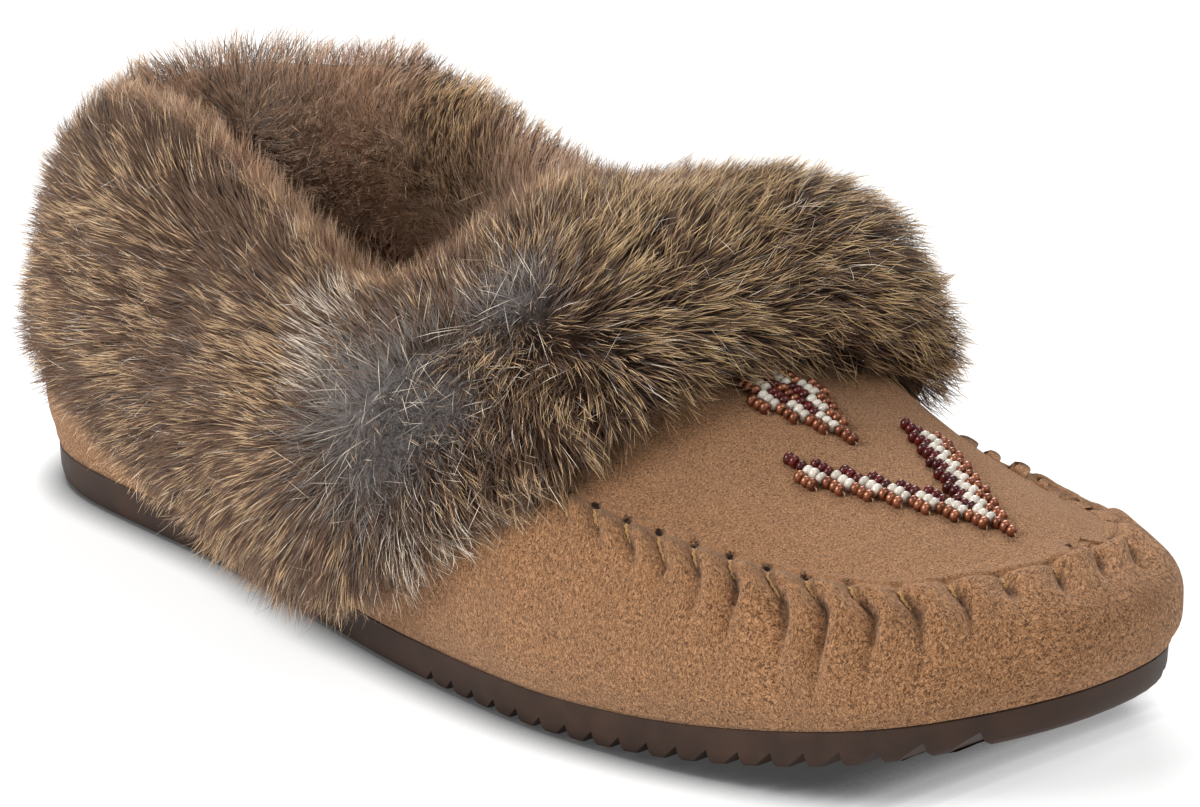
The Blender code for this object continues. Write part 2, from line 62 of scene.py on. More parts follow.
# ------------------------------------------------------------------ numbers
class Table:
    """Short table with named columns, read anywhere by a smooth cubic."""

    def __init__(self, names: str, rows: Sequence[Sequence[float]]) -> None:
        """Keeps the rows and works out their slopes.

        Args:
            names: Column names after the key column, with spaces between.
            rows: Rows of key and values, keys rising.
        """
        grid = np.array(rows, float)
        self.names = names.split()
        self.keys = grid[:, 0]
        self.values = grid[:, 1:]
        spans = np.diff(self.keys)[:, None]
        secants = np.diff(self.values, axis=0) / spans
        slopes = np.empty_like(self.values)
        slopes[0], slopes[-1] = secants[0], secants[-1]
        before, after = secants[:-1], secants[1:]
        same_way = before * after > 0
        total = np.where(same_way, before + after, 1.0)
        slopes[1:-1] = np.where(same_way, 2 * before * after / total, 0.0)
        self.slopes = slopes

    def read(self, at: Array) -> dict[str, Array]:
        """Reads every column: a Hermite cubic between the two rows round each key.

        Args:
            at: Keys to read at, of any shape.

        Returns:
            Column name to values of the same shape.
        """
        at = np.clip(np.asarray(at, float), self.keys[0], self.keys[-1])
        left = np.clip(np.searchsorted(self.keys, at, side="right") - 1, 0, len(self.keys) - 2)
        span = self.keys[left + 1] - self.keys[left]
        t = ((at - self.keys[left]) / span)[..., None]
        step = span[..., None]
        values = ((2 * t**3 - 3 * t**2 + 1) * self.values[left]
                  + (t**3 - 2 * t**2 + t) * step * self.slopes[left]
                  + (3 * t**2 - 2 * t**3) * self.values[left + 1]
                  + (t**3 - t**2) * step * self.slopes[left + 1])
        return {name: values[..., k] for k, name in enumerate(self.names)}


class Waves:
    """Smooth random field in space: random values on a lattice, blended between."""

    def __init__(self, seed: int, cells: int = 32) -> None:
        """Draws the lattice.

        Args:
            seed: Seed of the random values.
            cells: Lattice size, after which the field repeats.
        """
        self.cells = cells
        self.lattice = np.random.default_rng(seed).uniform(-1.0, 1.0, (cells, cells, cells))

    def at(self, points: Array, size: float) -> Array:
        """Trilinear blend of the eight lattice values round each point, eased.

        Args:
            points: Points, last axis x y z, in millimetres.
            size: Lattice step in millimetres.

        Returns:
            Values between -1 and 1.
        """
        scaled = points / size + 1000.0
        whole = np.floor(scaled).astype(int)
        part = scaled - whole
        part = part * part * (3 - 2 * part)
        total = np.zeros(points.shape[:-1])
        for corner in range(8):
            offset = np.array([corner & 1, corner >> 1 & 1, corner >> 2])
            index = (whole + offset) % self.cells
            share = np.prod(np.where(offset, part, 1 - part), axis=-1)
            total += share * self.lattice[index[..., 0], index[..., 1], index[..., 2]]
        return total


def ease(low: float, high: float, at: Array) -> Array:
    """Smooth step from 0 at low to 1 at high.

    Args:
        low: Where the step starts.
        high: Where it ends, above or below low.
        at: Values to read at.

    Returns:
        Values between 0 and 1.
    """
    t = np.clip((np.asarray(at, float) - low) / (high - low), 0.0, 1.0)
    return t * t * (3 - 2 * t)


def unit(vectors: Array) -> Array:
    """Vectors made one long, along the last axis."""
    return vectors / np.maximum(np.linalg.norm(vectors, axis=-1, keepdims=True), 1e-9)


def flat_on(vectors: Array, normals: Array) -> Array:
    """Part of each vector that lies in the surface with the given normals."""
    return vectors - normals * np.sum(vectors * normals, axis=-1, keepdims=True)


def grid_faces(rows: int, columns: int, closed_rows: bool = False,
               closed_columns: bool = False) -> Array:
    """Quads of a grid whose vertex index is row * columns + column.

    Args:
        rows: Number of rows.
        columns: Number of columns.
        closed_rows: Joins the last row to the first.
        closed_columns: Joins the last column to the first.

    Returns:
        Quads, four indices each.
    """
    i = np.arange(rows if closed_rows else rows - 1)[:, None]
    j = np.arange(columns if closed_columns else columns - 1)[None, :]
    below, beside = (i + 1) % rows, (j + 1) % columns
    quads = [i * columns + j, below * columns + j, below * columns + beside, i * columns + beside]
    return np.stack(np.broadcast_arrays(*quads), axis=-1).reshape(-1, 4)


def link_new(name: str, data: bpy.types.ID) -> bpy.types.Object:
    """Makes an object at the origin.

    Args:
        name: Its name.
        data: Mesh, light or camera that it holds.

    Returns:
        The object, linked to the scene.
    """
    thing = bpy.data.objects.new(name, data)
    bpy.context.scene.collection.objects.link(thing)
    return thing


def read_all(items: bpy.types.bpy_prop_collection, name: str, width: int = 1,
             kind: type = np.float32) -> Array:
    """One property of every item.

    Args:
        items: Vertices, loops or the like.
        name: The property.
        width: How many numbers it has.
        kind: Kind of number.

    Returns:
        A flat array, or rows of that width.
    """
    values = np.empty(len(items) * width, kind)
    items.foreach_get(name, values)
    return values.reshape(-1, width) if width > 1 else values


@contextmanager
def editing(mesh: bpy.types.Mesh) -> Iterator[bmesh.types.BMesh]:
    """Opens a mesh for work on its edges and faces, and writes it back after.

    Args:
        mesh: The mesh.

    Yields:
        Its editable copy.
    """
    work = bmesh.new()
    work.from_mesh(mesh)
    yield work
    work.to_mesh(mesh)
    work.free()


def make_piece(name: str, points: Array, faces: Sequence[Array], material: bpy.types.Material,
               smooth: bool = True) -> bpy.types.Object:
    """Mesh object from whole arrays.

    Args:
        name: Name of the piece.
        points: Vertices in millimetres, (n, 3).
        faces: Arrays of faces, each with its own number of corners.
        material: Its material.
        smooth: Smooth shading.

    Returns:
        The piece, linked to the scene.
    """
    mesh = bpy.data.meshes.new(name)
    points = np.asarray(points, np.float32) * MM
    corners = np.concatenate([np.asarray(part).ravel() for part in faces]).astype(np.int32)
    sizes = np.concatenate([np.full(len(part), np.asarray(part).shape[1]) for part in faces])
    starts = np.concatenate([[0], np.cumsum(sizes)[:-1]]).astype(np.int32)
    mesh.vertices.add(len(points))
    mesh.vertices.foreach_set("co", points.ravel())
    mesh.loops.add(len(corners))
    mesh.loops.foreach_set("vertex_index", corners)
    mesh.polygons.add(len(sizes))
    mesh.polygons.foreach_set("loop_start", starts)
    mesh.polygons.foreach_set("use_smooth", np.full(len(sizes), smooth))
    mesh.update(calc_edges=True)
    mesh.validate()
    mesh.materials.append(material)
    return link_new(name, mesh)


def give_map(piece: bpy.types.Object, name: str, places: Array) -> None:
    """Writes a map.

    Args:
        piece: The piece.
        name: Name of the map.
        places: One place per vertex, in the piece's vertex order.
    """
    index = read_all(piece.data.loops, "vertex_index", kind=np.int32)
    layer = piece.data.uv_layers.new(name=name)
    layer.data.foreach_set("uv", places[index].astype(np.float32).ravel())


def give_marks(piece: bpy.types.Object, **marks: Array) -> None:
    """Writes attributes.

    Args:
        piece: The piece.
        marks: Attribute name to one number per vertex.
    """
    for name, values in marks.items():
        layer = piece.data.attributes.new(name, 'FLOAT', 'POINT')
        layer.data.foreach_set("value", values.astype(np.float32))


def settle(piece: bpy.types.Object, slot: str, *replaced: str) -> None:
    """Hangs a finished piece on the frame and reports it.

    Args:
        piece: The piece, at the origin.
        slot: Material slot of the record that it belongs to; not used.
        replaced: CAD nodes that it stands for.
    """
    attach(piece, "root")
    if replaced:
        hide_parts(*replaced)
    triangles = sum(len(face.vertices) - 2 for face in piece.data.polygons)
    log.info("%s: %d triangles", piece.name, triangles)


# ---------------------------------------------------------------- materials
def linear(red: float, green: float, blue: float) -> Colour:
    """Linear colour of a display colour given as 0 to 255."""
    return tuple(((v / 255 + 0.055) / 1.055)**2.4 if v > 10 else v / 255 / 12.92
                 for v in (red, green, blue))


class Nodes:
    """Small helper that writes one material's node tree."""

    def __init__(self, name: str) -> None:
        """Starts a material with one Principled shader.

        Args:
            name: Its name.
        """
        self.material = bpy.data.materials.new(name)
        self.material.use_nodes = True
        self.tree = self.material.node_tree
        self.shader = self.tree.nodes["Principled BSDF"]

    def add(self, kind: str, inputs: dict[str, Value] | None = None,
            **settings: str | int) -> bpy.types.Node:
        """Adds a node.

        Args:
            kind: Node type without its ShaderNode prefix.
            inputs: Socket name to a value or another node's socket.
            settings: Node attributes.

        Returns:
            The node.
        """
        node = self.tree.nodes.new("ShaderNode" + kind)
        for key, value in settings.items():
            setattr(node, key, value)
        for key, value in (inputs or {}).items():
            self.feed(node.inputs[key], value)
        return node

    def feed(self, socket: Socket, value: Value) -> None:
        """Links a socket, or sets its value.

        Args:
            socket: The socket.
            value: A socket to link, a number, a vector or a colour.
        """
        if isinstance(value, Socket):
            self.tree.links.new(value, socket)
        elif isinstance(value, tuple) and len(value) == 3 and socket.type == 'RGBA':
            socket.default_value = (*value, 1.0)
        else:
            socket.default_value = value

    def shade(self, **values: Value) -> None:
        """Feeds the shader's sockets, named with underscores for spaces."""
        for key, value in values.items():
            self.feed(self.shader.inputs[key.replace("_", " ")], value)

    def place(self) -> Socket:
        """Object coordinates."""
        return self.add("TexCoord").outputs["Object"]

    def mark(self, name: str) -> Socket:
        """Number that the piece's attribute of that name holds."""
        return self.add("Attribute", attribute_name=name).outputs["Fac"]

    def across_along(self, name: str) -> tuple[Socket, Socket]:
        """First and second number of the piece's map of that name."""
        parts = self.add("SeparateXYZ", {"Vector": self.add("UVMap", uv_map=name).outputs["UV"]})
        return parts.outputs["X"], parts.outputs["Y"]

    def noise(self, where: Socket, size_mm: float, detail: float = 2.0, rough: float = 0.5,
              warp: float = 0.0) -> Socket:
        """Noise.

        Args:
            where: Coordinates.
            size_mm: Size of its features.
            detail: How many finer layers it has.
            rough: How strong the finer layers are.
            warp: How far it is bent by itself.

        Returns:
            Values round 0.5.
        """
        node = self.add("TexNoise", {"Vector": where, "Scale": 1.0 / (size_mm * MM),
                                     "Detail": detail, "Roughness": rough, "Distortion": warp})
        return node.outputs["Fac"]

    def ramp(self, factor: Socket, stops: Sequence[tuple[float, Colour]]) -> Socket:
        """Colour ramp.

        Args:
            factor: Place along it.
            stops: Places, rising, and their colours.

        Returns:
            Its colour.
        """
        node = self.add("ValToRGB", {"Fac": factor})
        for k, (at, colour) in enumerate(stops):
            element = node.color_ramp.elements[k] if k < 2 else node.color_ramp.elements.new(at)
            element.position = at
            element.color = (*colour, 1.0)
        return node.outputs["Color"]

    def span(self, value: Socket, low: float, high: float, to_low: float,
             to_high: float) -> Socket:
        """Value carried from one range to another, clamped.

        Args:
            value: The value.
            low: Start of its range.
            high: End of its range.
            to_low: What the start becomes.
            to_high: What the end becomes.

        Returns:
            The value in the new range.
        """
        node = self.add("MapRange", {"Value": value, "From Min": low, "From Max": high,
                                     "To Min": to_low, "To Max": to_high})
        return node.outputs["Result"]

    def math(self, operation: str, *values: Socket | float) -> Socket:
        """One arithmetic step.

        Args:
            operation: Its name.
            values: What it works on.

        Returns:
            Its result.
        """
        node = self.add("Math", operation=operation)
        for socket, value in zip(node.inputs, values):
            self.feed(socket, value)
        return node.outputs[0]

    def mix(self, factor: Socket | float, first: Socket | Colour, second: Socket | Colour,
            blend: str = 'MIX') -> Socket:
        """Mix of two colours.

        Args:
            factor: Share of the second, 0 to 1.
            first: First colour.
            second: Second colour.
            blend: How they are mixed.

        Returns:
            The mixed colour.
        """
        node = self.add("Mix", data_type='RGBA', blend_type=blend)
        for index, value in ((0, factor), (6, first), (7, second)):
            self.feed(node.inputs[index], value)
        return node.outputs[2]

    def bump(self, height: Socket, depth_mm: float) -> Socket:
        """Bump whose full height is a given depth."""
        inputs = {"Height": height, "Distance": depth_mm * MM, "Strength": 1.0}
        return self.add("Bump", inputs).outputs["Normal"]


@dataclass(frozen=True)
class SuedeFinish:
    """Napped suede: curled nap that catches light in specks, brushed mottling.

    The piece's "seam" map gives stitches along and millimetres below the holes. Its
    "gather" attribute says where the seam is stitched at all, and its "groove"
    attribute where the suede is pulled into folds.
    """

    name: str = "suede_nap"
    light: Colour = linear(188, 142, 103)
    middle: Colour = linear(150, 107, 72)
    deep: Colour = linear(84, 57, 38)
    # Painted shade inside the stitch holes.
    hole: Colour = linear(34, 20, 14)
    # Painted shade in the grooves of the gathers.
    crease: Colour = linear(58, 37, 24)
    rubbed: Colour = linear(104, 84, 68)
    worn: Colour = (0.86, 0.80, 0.74)
    sheen: Colour = (0.95, 0.80, 0.66)
    nap_mm: float = 0.34
    nap_depth_mm: float = 0.34
    comb: float = 0.6
    patch_mm: float = 9.0
    pitch_mm: float = 7.0
    hole_squeeze: float = 0.75
    hole_edge_mm: float = 0.8
    ragged_mm: float = 0.42

    def material(self) -> bpy.types.Material:
        """Builds it: nap specks over soft patches, with painted shade in the grooves and in the
        stitch holes.

        Returns:
            The material.
        """
        n = Nodes(self.name)
        where = n.place()
        stitch, down = n.across_along("seam")
        combed = n.add("CombineXYZ", {
            "X": n.math('MULTIPLY', stitch, self.pitch_mm * MM),
            "Y": n.math('MULTIPLY', down, self.comb * MM)}).outputs["Vector"]
        curl = n.noise(combed, self.nap_mm, 3.0, 0.6, 1.4)
        short = n.noise(where, self.nap_mm * 0.85, 2.0, 0.55, 1.0)
        wrapped = n.span(down, -1.0, 1.5, 0.0, 1.0)
        specks = n.mix(wrapped, self.nap(n, short, 0.34, 0.66), self.nap(n, curl, 0.37, 0.62))
        grain = n.math('ADD', n.math('MULTIPLY', short, n.math('SUBTRACT', 1.0, wrapped)),
                       n.math('MULTIPLY', curl, wrapped))
        patch = n.span(n.noise(where, self.patch_mm, 3.0, 0.55, 0.4), 0.3, 0.7, 0.0, 0.22)
        shaded = n.mix(patch, specks, self.worn, 'MULTIPLY')

        off = n.math('MULTIPLY', n.math('PINGPONG', stitch, 0.5), self.pitch_mm)
        stitched = n.mark("gather")
        rub = n.math('ABSOLUTE', n.math('SUBTRACT', down, 1.5))
        rub = n.math('MULTIPLY', n.span(rub, 0.6, 1.9, 0.34, 0.0), stitched)
        # Painted shade: the suede is darkened towards the crease colour in the grooves of the
        # gathers, most at the crease itself.
        groove = n.math('MULTIPLY', n.span(off, 0.10, 0.95, 0.85, 0.0), n.mark("groove"))
        crease_shaded = n.mix(groove, n.mix(rub, shaded, self.rubbed), self.crease)
        reach = n.math('ADD', self.from_hole(n, off, down), n.span(
            n.noise(where, self.hole_edge_mm, 3.0, 0.6, 1.0), 0.3, 0.7,
            -self.ragged_mm, self.ragged_mm))
        # Painted shade: the holes are mixed towards the dark hole colour.
        hole = n.math('MULTIPLY', n.span(reach, 0.38, 0.86, 1.0, 0.0), stitched)
        height = n.math('SUBTRACT', grain, n.math('MAXIMUM', hole, groove))
        n.shade(Base_Color=n.mix(hole, crease_shaded, self.hole), Roughness=0.95,
                Normal=n.bump(height, self.nap_depth_mm), Sheen_Weight=0.2,
                Sheen_Roughness=0.5, Sheen_Tint=self.sheen, Specular_IOR_Level=0.12)
        return n.material

    def nap(self, n: Nodes, curl: Socket, low: float, high: float) -> Socket:
        """Specks: deep below low, middle halfway and light above high."""
        return n.ramp(curl, ((low, self.deep), (0.50, self.middle), (high, self.light)))

    def from_hole(self, n: Nodes, off: Socket, down: Socket) -> Socket:
        """Distance from the middle of a hole, which is a little longer along the seam.

        It is the root of the sum of the two lengths squared, the first one squeezed.

        Args:
            n: Node helper.
            off: Length along the seam from the hole.
            down: Length below it.

        Returns:
            The distance in millimetres.
        """
        squares = [n.math('POWER', length, 2.0)
                   for length in (n.math('MULTIPLY', off, self.hole_squeeze), down)]
        return n.math('SQRT', n.math('ADD', *squares))


@dataclass(frozen=True)
class RubberFinish:
    """Matte moulded rubber with a fine grain."""

    name: str = "moulded_rubber"
    light: Colour = linear(66, 48, 38)
    dark: Colour = linear(52, 37, 29)

    def material(self) -> bpy.types.Material:
        """Builds it: faint mottling, fine grain bump, dusty roughness.

        Returns:
            The material.
        """
        n = Nodes(self.name)
        where = n.place()
        cloud = n.noise(where, 7.0, 3.0)
        grain = n.noise(where, 0.25, 2.0)
        n.shade(Base_Color=n.ramp(cloud, ((0.35, self.dark), (0.68, self.light))),
                Roughness=n.span(cloud, 0.3, 0.7, 0.56, 0.68),
                Normal=n.bump(grain, 0.03), Specular_IOR_Level=0.22)
        return n.material


class BeadKind(Enum):
    """Glass seed beads by colour."""

    COPPER = "copper"
    PEARL = "pearl"
    GARNET = "garnet"


@dataclass(frozen=True)
class BeadFinish:
    """Finish of one kind of glass bead."""

    kind: BeadKind
    light: Colour
    dark: Colour
    metallic: float
    roughness: float
    coat: float

    def material(self) -> bpy.types.Material:
        """Builds it: each bead a little lighter or darker, glossy glass on top.

        Returns:
            The material.
        """
        n = Nodes("bead_" + self.kind.value)
        cloud = n.noise(n.place(), 2.4, 1.0)
        n.shade(Base_Color=n.ramp(cloud, ((0.38, self.dark), (0.62, self.light))),
                Metallic=self.metallic, Roughness=self.roughness, Coat_Weight=self.coat,
                Coat_Roughness=0.08)
        return n.material


@dataclass(frozen=True)
class ThreadFinish:
    """Waxed thread, two plies twisted."""

    name: str = "waxed_thread"
    light: Colour = linear(214, 172, 112)
    # Painted shade in the grooves of the twist.
    dark: Colour = linear(150, 108, 60)
    ply_turns: float = 5.0

    def material(self) -> bpy.types.Material:
        """Builds it: slanted ply stripes from the thread's own map, with painted shade in their
        grooves.

        Returns:
            The material.
        """
        n = Nodes(self.name)
        around, along = n.across_along("ply")
        slant = n.math('ADD', n.math('MULTIPLY', around, 2.0),
                       n.math('MULTIPLY', along, self.ply_turns * 2))
        stripe = n.math('ABSOLUTE', n.math('SINE', n.math('MULTIPLY', slant, math.pi)))
        # Painted shade: the thread is darker where the stripes dip into the grooves of the twist.
        n.shade(Base_Color=n.mix(stripe, self.dark, self.light), Roughness=0.45,
                Normal=n.bump(stripe, 0.08), Specular_IOR_Level=0.5)
        return n.material


@dataclass(frozen=True)
class PileFinish:
    """Short brushed pile that lines the footbed."""

    name: str = "footbed_pile"
    light: Colour = linear(196, 168, 136)
    dark: Colour = linear(142, 114, 86)

    def material(self) -> bpy.types.Material:
        """Builds it: curly pile specks over soft wear patches.

        Returns:
            The material.
        """
        n = Nodes(self.name)
        where = n.place()
        curl = n.noise(where, 0.9, 4.0, 0.65, 1.5)
        wear = n.noise(where, 16.0, 2.0)
        base = n.ramp(curl, ((0.32, self.dark), (0.66, self.light)))
        n.shade(Base_Color=n.mix(n.span(wear, 0.4, 0.7, 0.0, 0.3), base, self.dark),
                Roughness=1.0, Normal=n.bump(curl, 0.7), Sheen_Weight=0.4)
        return n.material


class Hair(Enum):
    """Kinds of hair in the pelt. The value is the kind's place in the tone map."""

    GOLD = 0
    BROWN = 1
    DOWN = 2
    GREY = 3
    CREAM = 4
    WARM = 5
    DUSK = 6


@dataclass(frozen=True)
class FurFinish:
    """Banded hair: colour by kind across the map and from root to tip along it."""

    name: str = "fur_hair"
    tones: int = 6
    gain: float = 1.1
    tone_span: tuple[float, float] = (0.74, 1.26)
    bands: tuple[tuple[Hair, tuple[tuple[float, Colour], ...]], ...] = (
        (Hair.GOLD, ((0.0, (78, 59, 46)), (0.60, (100, 76, 59)), (0.74, (190, 157, 118)),
                     (0.92, (220, 190, 152)), (1.0, (190, 162, 128)))),
        (Hair.BROWN, ((0.0, (76, 57, 45)), (0.55, (96, 73, 57)), (0.8, (124, 97, 77)),
                      (1.0, (88, 66, 51)))),
        (Hair.DOWN, ((0.0, (70, 53, 42)), (0.6, (98, 75, 60)), (1.0, (114, 89, 72)))),
        (Hair.GREY, ((0.0, (98, 92, 88)), (0.6, (124, 117, 112)), (1.0, (138, 130, 124)))),
        (Hair.CREAM, ((0.0, (110, 98, 88)), (0.3, (160, 146, 130)), (0.6, (220, 206, 188)),
                      (1.0, (236, 224, 206)))),
        # Warm inner hair: a warm tone of the pelt, made paler as painted light against the shade
        # inside the collar.
        (Hair.WARM, ((0.0, (158, 129, 108)), (0.5, (184, 153, 130)), (0.85, (202, 171, 146)),
                     (1.0, (194, 164, 140)))),
        (Hair.DUSK, ((0.0, (30, 21, 14)), (0.52, (52, 38, 26)), (0.68, (156, 125, 84)),
                     (0.90, (230, 201, 156)), (1.0, (190, 160, 117)))),
    )

    def material(self) -> bpy.types.Material:
        """Builds it: one ramp a kind, picked by the map's first number.

        Returns:
            The material.
        """
        n = Nodes(self.name)
        across, along = n.across_along("OFBake")
        kinds = len(self.bands)
        colour = None
        for kind, stops in self.bands:
            ramp = n.ramp(along, [(at, linear(*rgb)) for at, rgb in stops])
            if colour is None:
                colour = ramp
            else:
                beyond = n.math('GREATER_THAN', across, kind.value / kinds)
                colour = n.mix(beyond, colour, ramp)
        tone = n.math('FRACT', n.math('MULTIPLY', across, float(kinds)))
        bright = n.math('MULTIPLY', n.span(tone, 0.0, 1.0, *self.tone_span), self.gain)
        grey = n.add("CombineXYZ", {"X": bright, "Y": bright, "Z": bright})
        n.shade(Base_Color=n.mix(1.0, colour, grey.outputs[0], 'MULTIPLY'), Roughness=0.6,
                Specular_IOR_Level=0.25)
        return n.material


@dataclass(frozen=True)
class SkinFinish:
    """Dense soft underfur seen between the hairs, dark in front and pale inside, the pale inside
    partly painted light against the shade in the collar.

    The piece's "pale" attribute is 0 on the roll over the instep, a half on the
    sides and 1 inside the collar, and its "wool" attribute marks the grey wool.
    """

    name: str = "fur_skin"
    roll: Colour = linear(52, 39, 31)
    side: Colour = linear(82, 62, 49)
    # Warm like the pelt inside, and paler than it as painted light against the shade inside the
    # collar.
    inside: Colour = linear(188, 156, 131)
    wool: Colour = linear(124, 118, 116)
    curl_mm: float = 1.1

    def material(self) -> bpy.types.Material:
        """Builds it: colour by place, in curls with painted shade at their feet.

        Returns:
            The material.
        """
        n = Nodes(self.name)
        curl = n.noise(n.place(), self.curl_mm, 4.0, 0.6, 1.0)
        body = n.ramp(n.mark("pale"), ((0.0, self.roll), (0.5, self.side), (1.0, self.inside)))
        body = n.mix(n.mark("wool"), body, self.wool)
        # Painted shade: the colour is halved at the feet of the curls.
        shade = n.ramp(curl, ((0.35, (0.5, 0.5, 0.5)), (0.7, (1.0, 1.0, 1.0))))
        n.shade(Base_Color=n.mix(1.0, body, shade, 'MULTIPLY'), Roughness=1.0,
                Normal=n.bump(curl, 0.8), Specular_IOR_Level=0.1)
        return n.material


@dataclass(frozen=True)
class FloorFinish:
    """Plain pale studio floor with a painted glow, and a painted contact shadow where the shoe
    stands close over it.
    """

    name: str = "floor_paper"
    pale: Colour = (0.38, 0.38, 0.38)
    shadow: Colour = (0.02, 0.02, 0.02)
    # Painted light: the floor glows though it is no lamp, and lights the shoe from below.
    painted_glow: float = 0.71
    reach_mm: float = 11.0

    def material(self) -> bpy.types.Material:
        """Builds it: matte paper that glows as painted light, with a painted contact shadow where
        ambient occlusion finds the shoe close.

        Returns:
            The material.
        """
        n = Nodes(self.name)
        # Painted contact shadow: colour and glow fall off where ambient occlusion finds the shoe
        # close over the floor.
        near = n.add("AmbientOcclusion", {"Distance": self.reach_mm * MM}, samples=16)
        clear = n.span(near.outputs["AO"], 0.36, 0.86, 0.08, 1.0)
        n.shade(Base_Color=n.mix(clear, self.shadow, self.pale), Roughness=0.9,
                Specular_IOR_Level=0.1, Emission_Color=(1.0, 1.0, 1.0),
                Emission_Strength=n.math('MULTIPLY', clear, self.painted_glow))
        return n.material


# --------------------------------------------------------------------- last
@dataclass
class Last:
    """The foot form that sole, upper and trimmings are worked out from.

    Its tables are read by station, 0 at the heel and 1 at the toe, or by length
    coordinate. The wrap's bulge stands out from the sole edge at a share of its
    height, and its shoulder lies in from the edge on either side.
    """

    length: float = 256.0
    sole_thickness: float = 7.5
    toe_spring: float = 11.5
    spring_start: float = 0.67
    fit_gap: float = 0.3
    margin: float = 7.0
    spine_share: float = 0.70
    toe_lean: float = 0.8
    lip_in: float = 0.8
    lip_turn: float = 4.3
    dense_steps: int = 4001
    outline: Table = Table("lateral medial", (
        (0.00, 26.5, 27.0), (0.08, 30.2, 30.4), (0.17, 31.4, 31.5), (0.30, 34.2, 30.6),
        (0.42, 40.0, 30.6), (0.55, 45.4, 35.8), (0.66, 47.2, 42.6), (0.76, 44.6, 44.8),
        (0.86, 39.0, 42.9), (0.94, 33.8, 39.5), (1.00, 25.0, 36.0)))
    wrap: Table = Table("bulge at in_lateral in_medial z_lateral z_medial squareness", (
        (0.00, 2.3, 0.25, 30.0, 30.0, 80.0, 80.0, 1.3),
        (0.20, 2.3, 0.26, 22.0, 20.0, 76.0, 76.0, 1.4),
        (0.42, 3.0, 0.30, 26.0, 16.0, 64.0, 64.0, 1.4),
        (0.55, 3.2, 0.34, 19.0, 14.0, 51.0, 50.0, 1.6),
        (0.66, 3.2, 0.40, 11.0, 11.0, 42.0, 39.4, 1.9),
        (0.76, 3.2, 0.45, 9.5, 9.0, 38.3, 34.3, 2.0),
        (0.88, 2.8, 0.45, 9.5, 10.0, 35.8, 32.6, 2.1),
        (1.00, 1.9, 0.45, 11.5, 11.5, 35.8, 35.8, 2.1)))
    spine: Table = Table("x height fullness", (
        (-90.0, 2.8, 40.6, 2.3), (-70.0, 2.8, 45.0, 2.4), (-55.0, 2.4, 49.2, 2.3),
        (-40.0, 1.8, 53.4, 2.1), (-20.0, 1.0, 60.5, 1.9), (5.0, 0.0, 71.0, 1.9),
        (35.0, 0.0, 88.0, 2.0), (65.0, 0.0, 97.0, 2.0), (90.0, 0.0, 96.0, 2.0)))
    collar: Table = Table("height", (
        (-30.0, 92.0), (-14.0, 71.0), (-8.0, 63.5), (-2.0, 56.5), (5.0, 50.5), (14.0, 48.5),
        (30.0, 51.0), (48.0, 54.5), (62.0, 59.0), (80.0, 62.0), (112.0, 62.0),
        (135.0, 61.0)))

    def spring(self, y: Array) -> Array:
        """Height the toe spring gives: the square of the way past its start."""
        past = np.maximum(0.5 - y / self.length - self.spring_start, 0.0)
        return self.toe_spring * (past / (1.0 - self.spring_start))**2

    def columns(self, turn: Array) -> tuple[Array, ...]:
        """Outline point and inward direction of each column.

        The turn runs 0 at the heel, pi at the toe tip by the lateral side, and
        back by the medial side. The station is (1 - cos turn) / 2.

        Args:
            turn: Turns of the columns.

        Returns:
            Edge x, edge y, inward x, inward y, reach and station.
        """
        station = (1 - np.cos(turn)) / 2
        sides = self.outline.read(station)
        rounding = np.sqrt(np.maximum(0.0, 1.0 - (2 * station - 1)**10))
        edge_x = rounding * np.where(turn > math.pi, sides["medial"], -sides["lateral"])
        edge_y = self.length * (0.5 - station)
        spine_y = self.spine_share * edge_y
        run_x = self.spine.read(spine_y)["x"] - edge_x
        run_y = spine_y - edge_y
        reach = np.hypot(run_x, run_y)
        return edge_x, edge_y, run_x / reach, run_y / reach, reach, station

    def surface(self, turn: Array, under: Array, wrap: Array, vamp: Array) -> Array:
        """Points of the last, a column for each turn and a row for each share.

        The lower wrap leaves the sole edge as 1 - (1 - a)^k, the upper wrap is a
        superellipse up to the shoulder, and the vamp rises to the spine as
        1 - (1 - s)^fullness, leaning to a straight line at the toe.

        Args:
            turn: Turns of the columns.
            under: Shares 0 to 1 from the sole edge to the widest bulge.
            wrap: Shares 0 to 1 from the bulge to the shoulder.
            vamp: Shares 0 to 1 from the shoulder to the spine.

        Returns:
            Points in millimetres, (columns, rows, 3).
        """
        edge_x, edge_y, in_x, in_y, reach, station = (v[:, None] for v in self.columns(turn))
        row = self.wrap.read(station)
        lateral = edge_x < 0
        shoulder_in = np.where(lateral, row["in_lateral"], row["in_medial"])
        shoulder_z = np.where(lateral, row["z_lateral"], row["z_medial"])
        top = self.spine.read(edge_y + in_y * reach)
        seat = self.spring(edge_y) + self.sole_thickness + self.fit_gap
        bulge_z = seat + row["at"] * (shoulder_z - seat)

        margin_in = np.array([[self.margin, self.margin * 0.5]]) + 0 * seat
        margin_z = self.spring(edge_y + in_y * margin_in) + self.sole_thickness + self.fit_gap
        low_in = self.lip_in - (row["bulge"] + self.lip_in) * (1 - (1 - under)**self.lip_turn)
        low_z = seat + (bulge_z - seat) * under
        power = 2.0 / row["squareness"]
        angle = wrap * math.pi / 2
        wrap_in = shoulder_in - (shoulder_in + row["bulge"]) * np.cos(angle)**power
        wrap_z = bulge_z + (shoulder_z - bulge_z) * np.sin(angle)**power
        lean = self.toe_lean * np.maximum(in_y, 0.0)
        rise = lean * vamp + (1 - lean) * (1 - (1 - vamp)**top["fullness"])
        vamp_in = shoulder_in + (reach - shoulder_in) * vamp
        vamp_z = shoulder_z + (top["height"] - shoulder_z) * rise

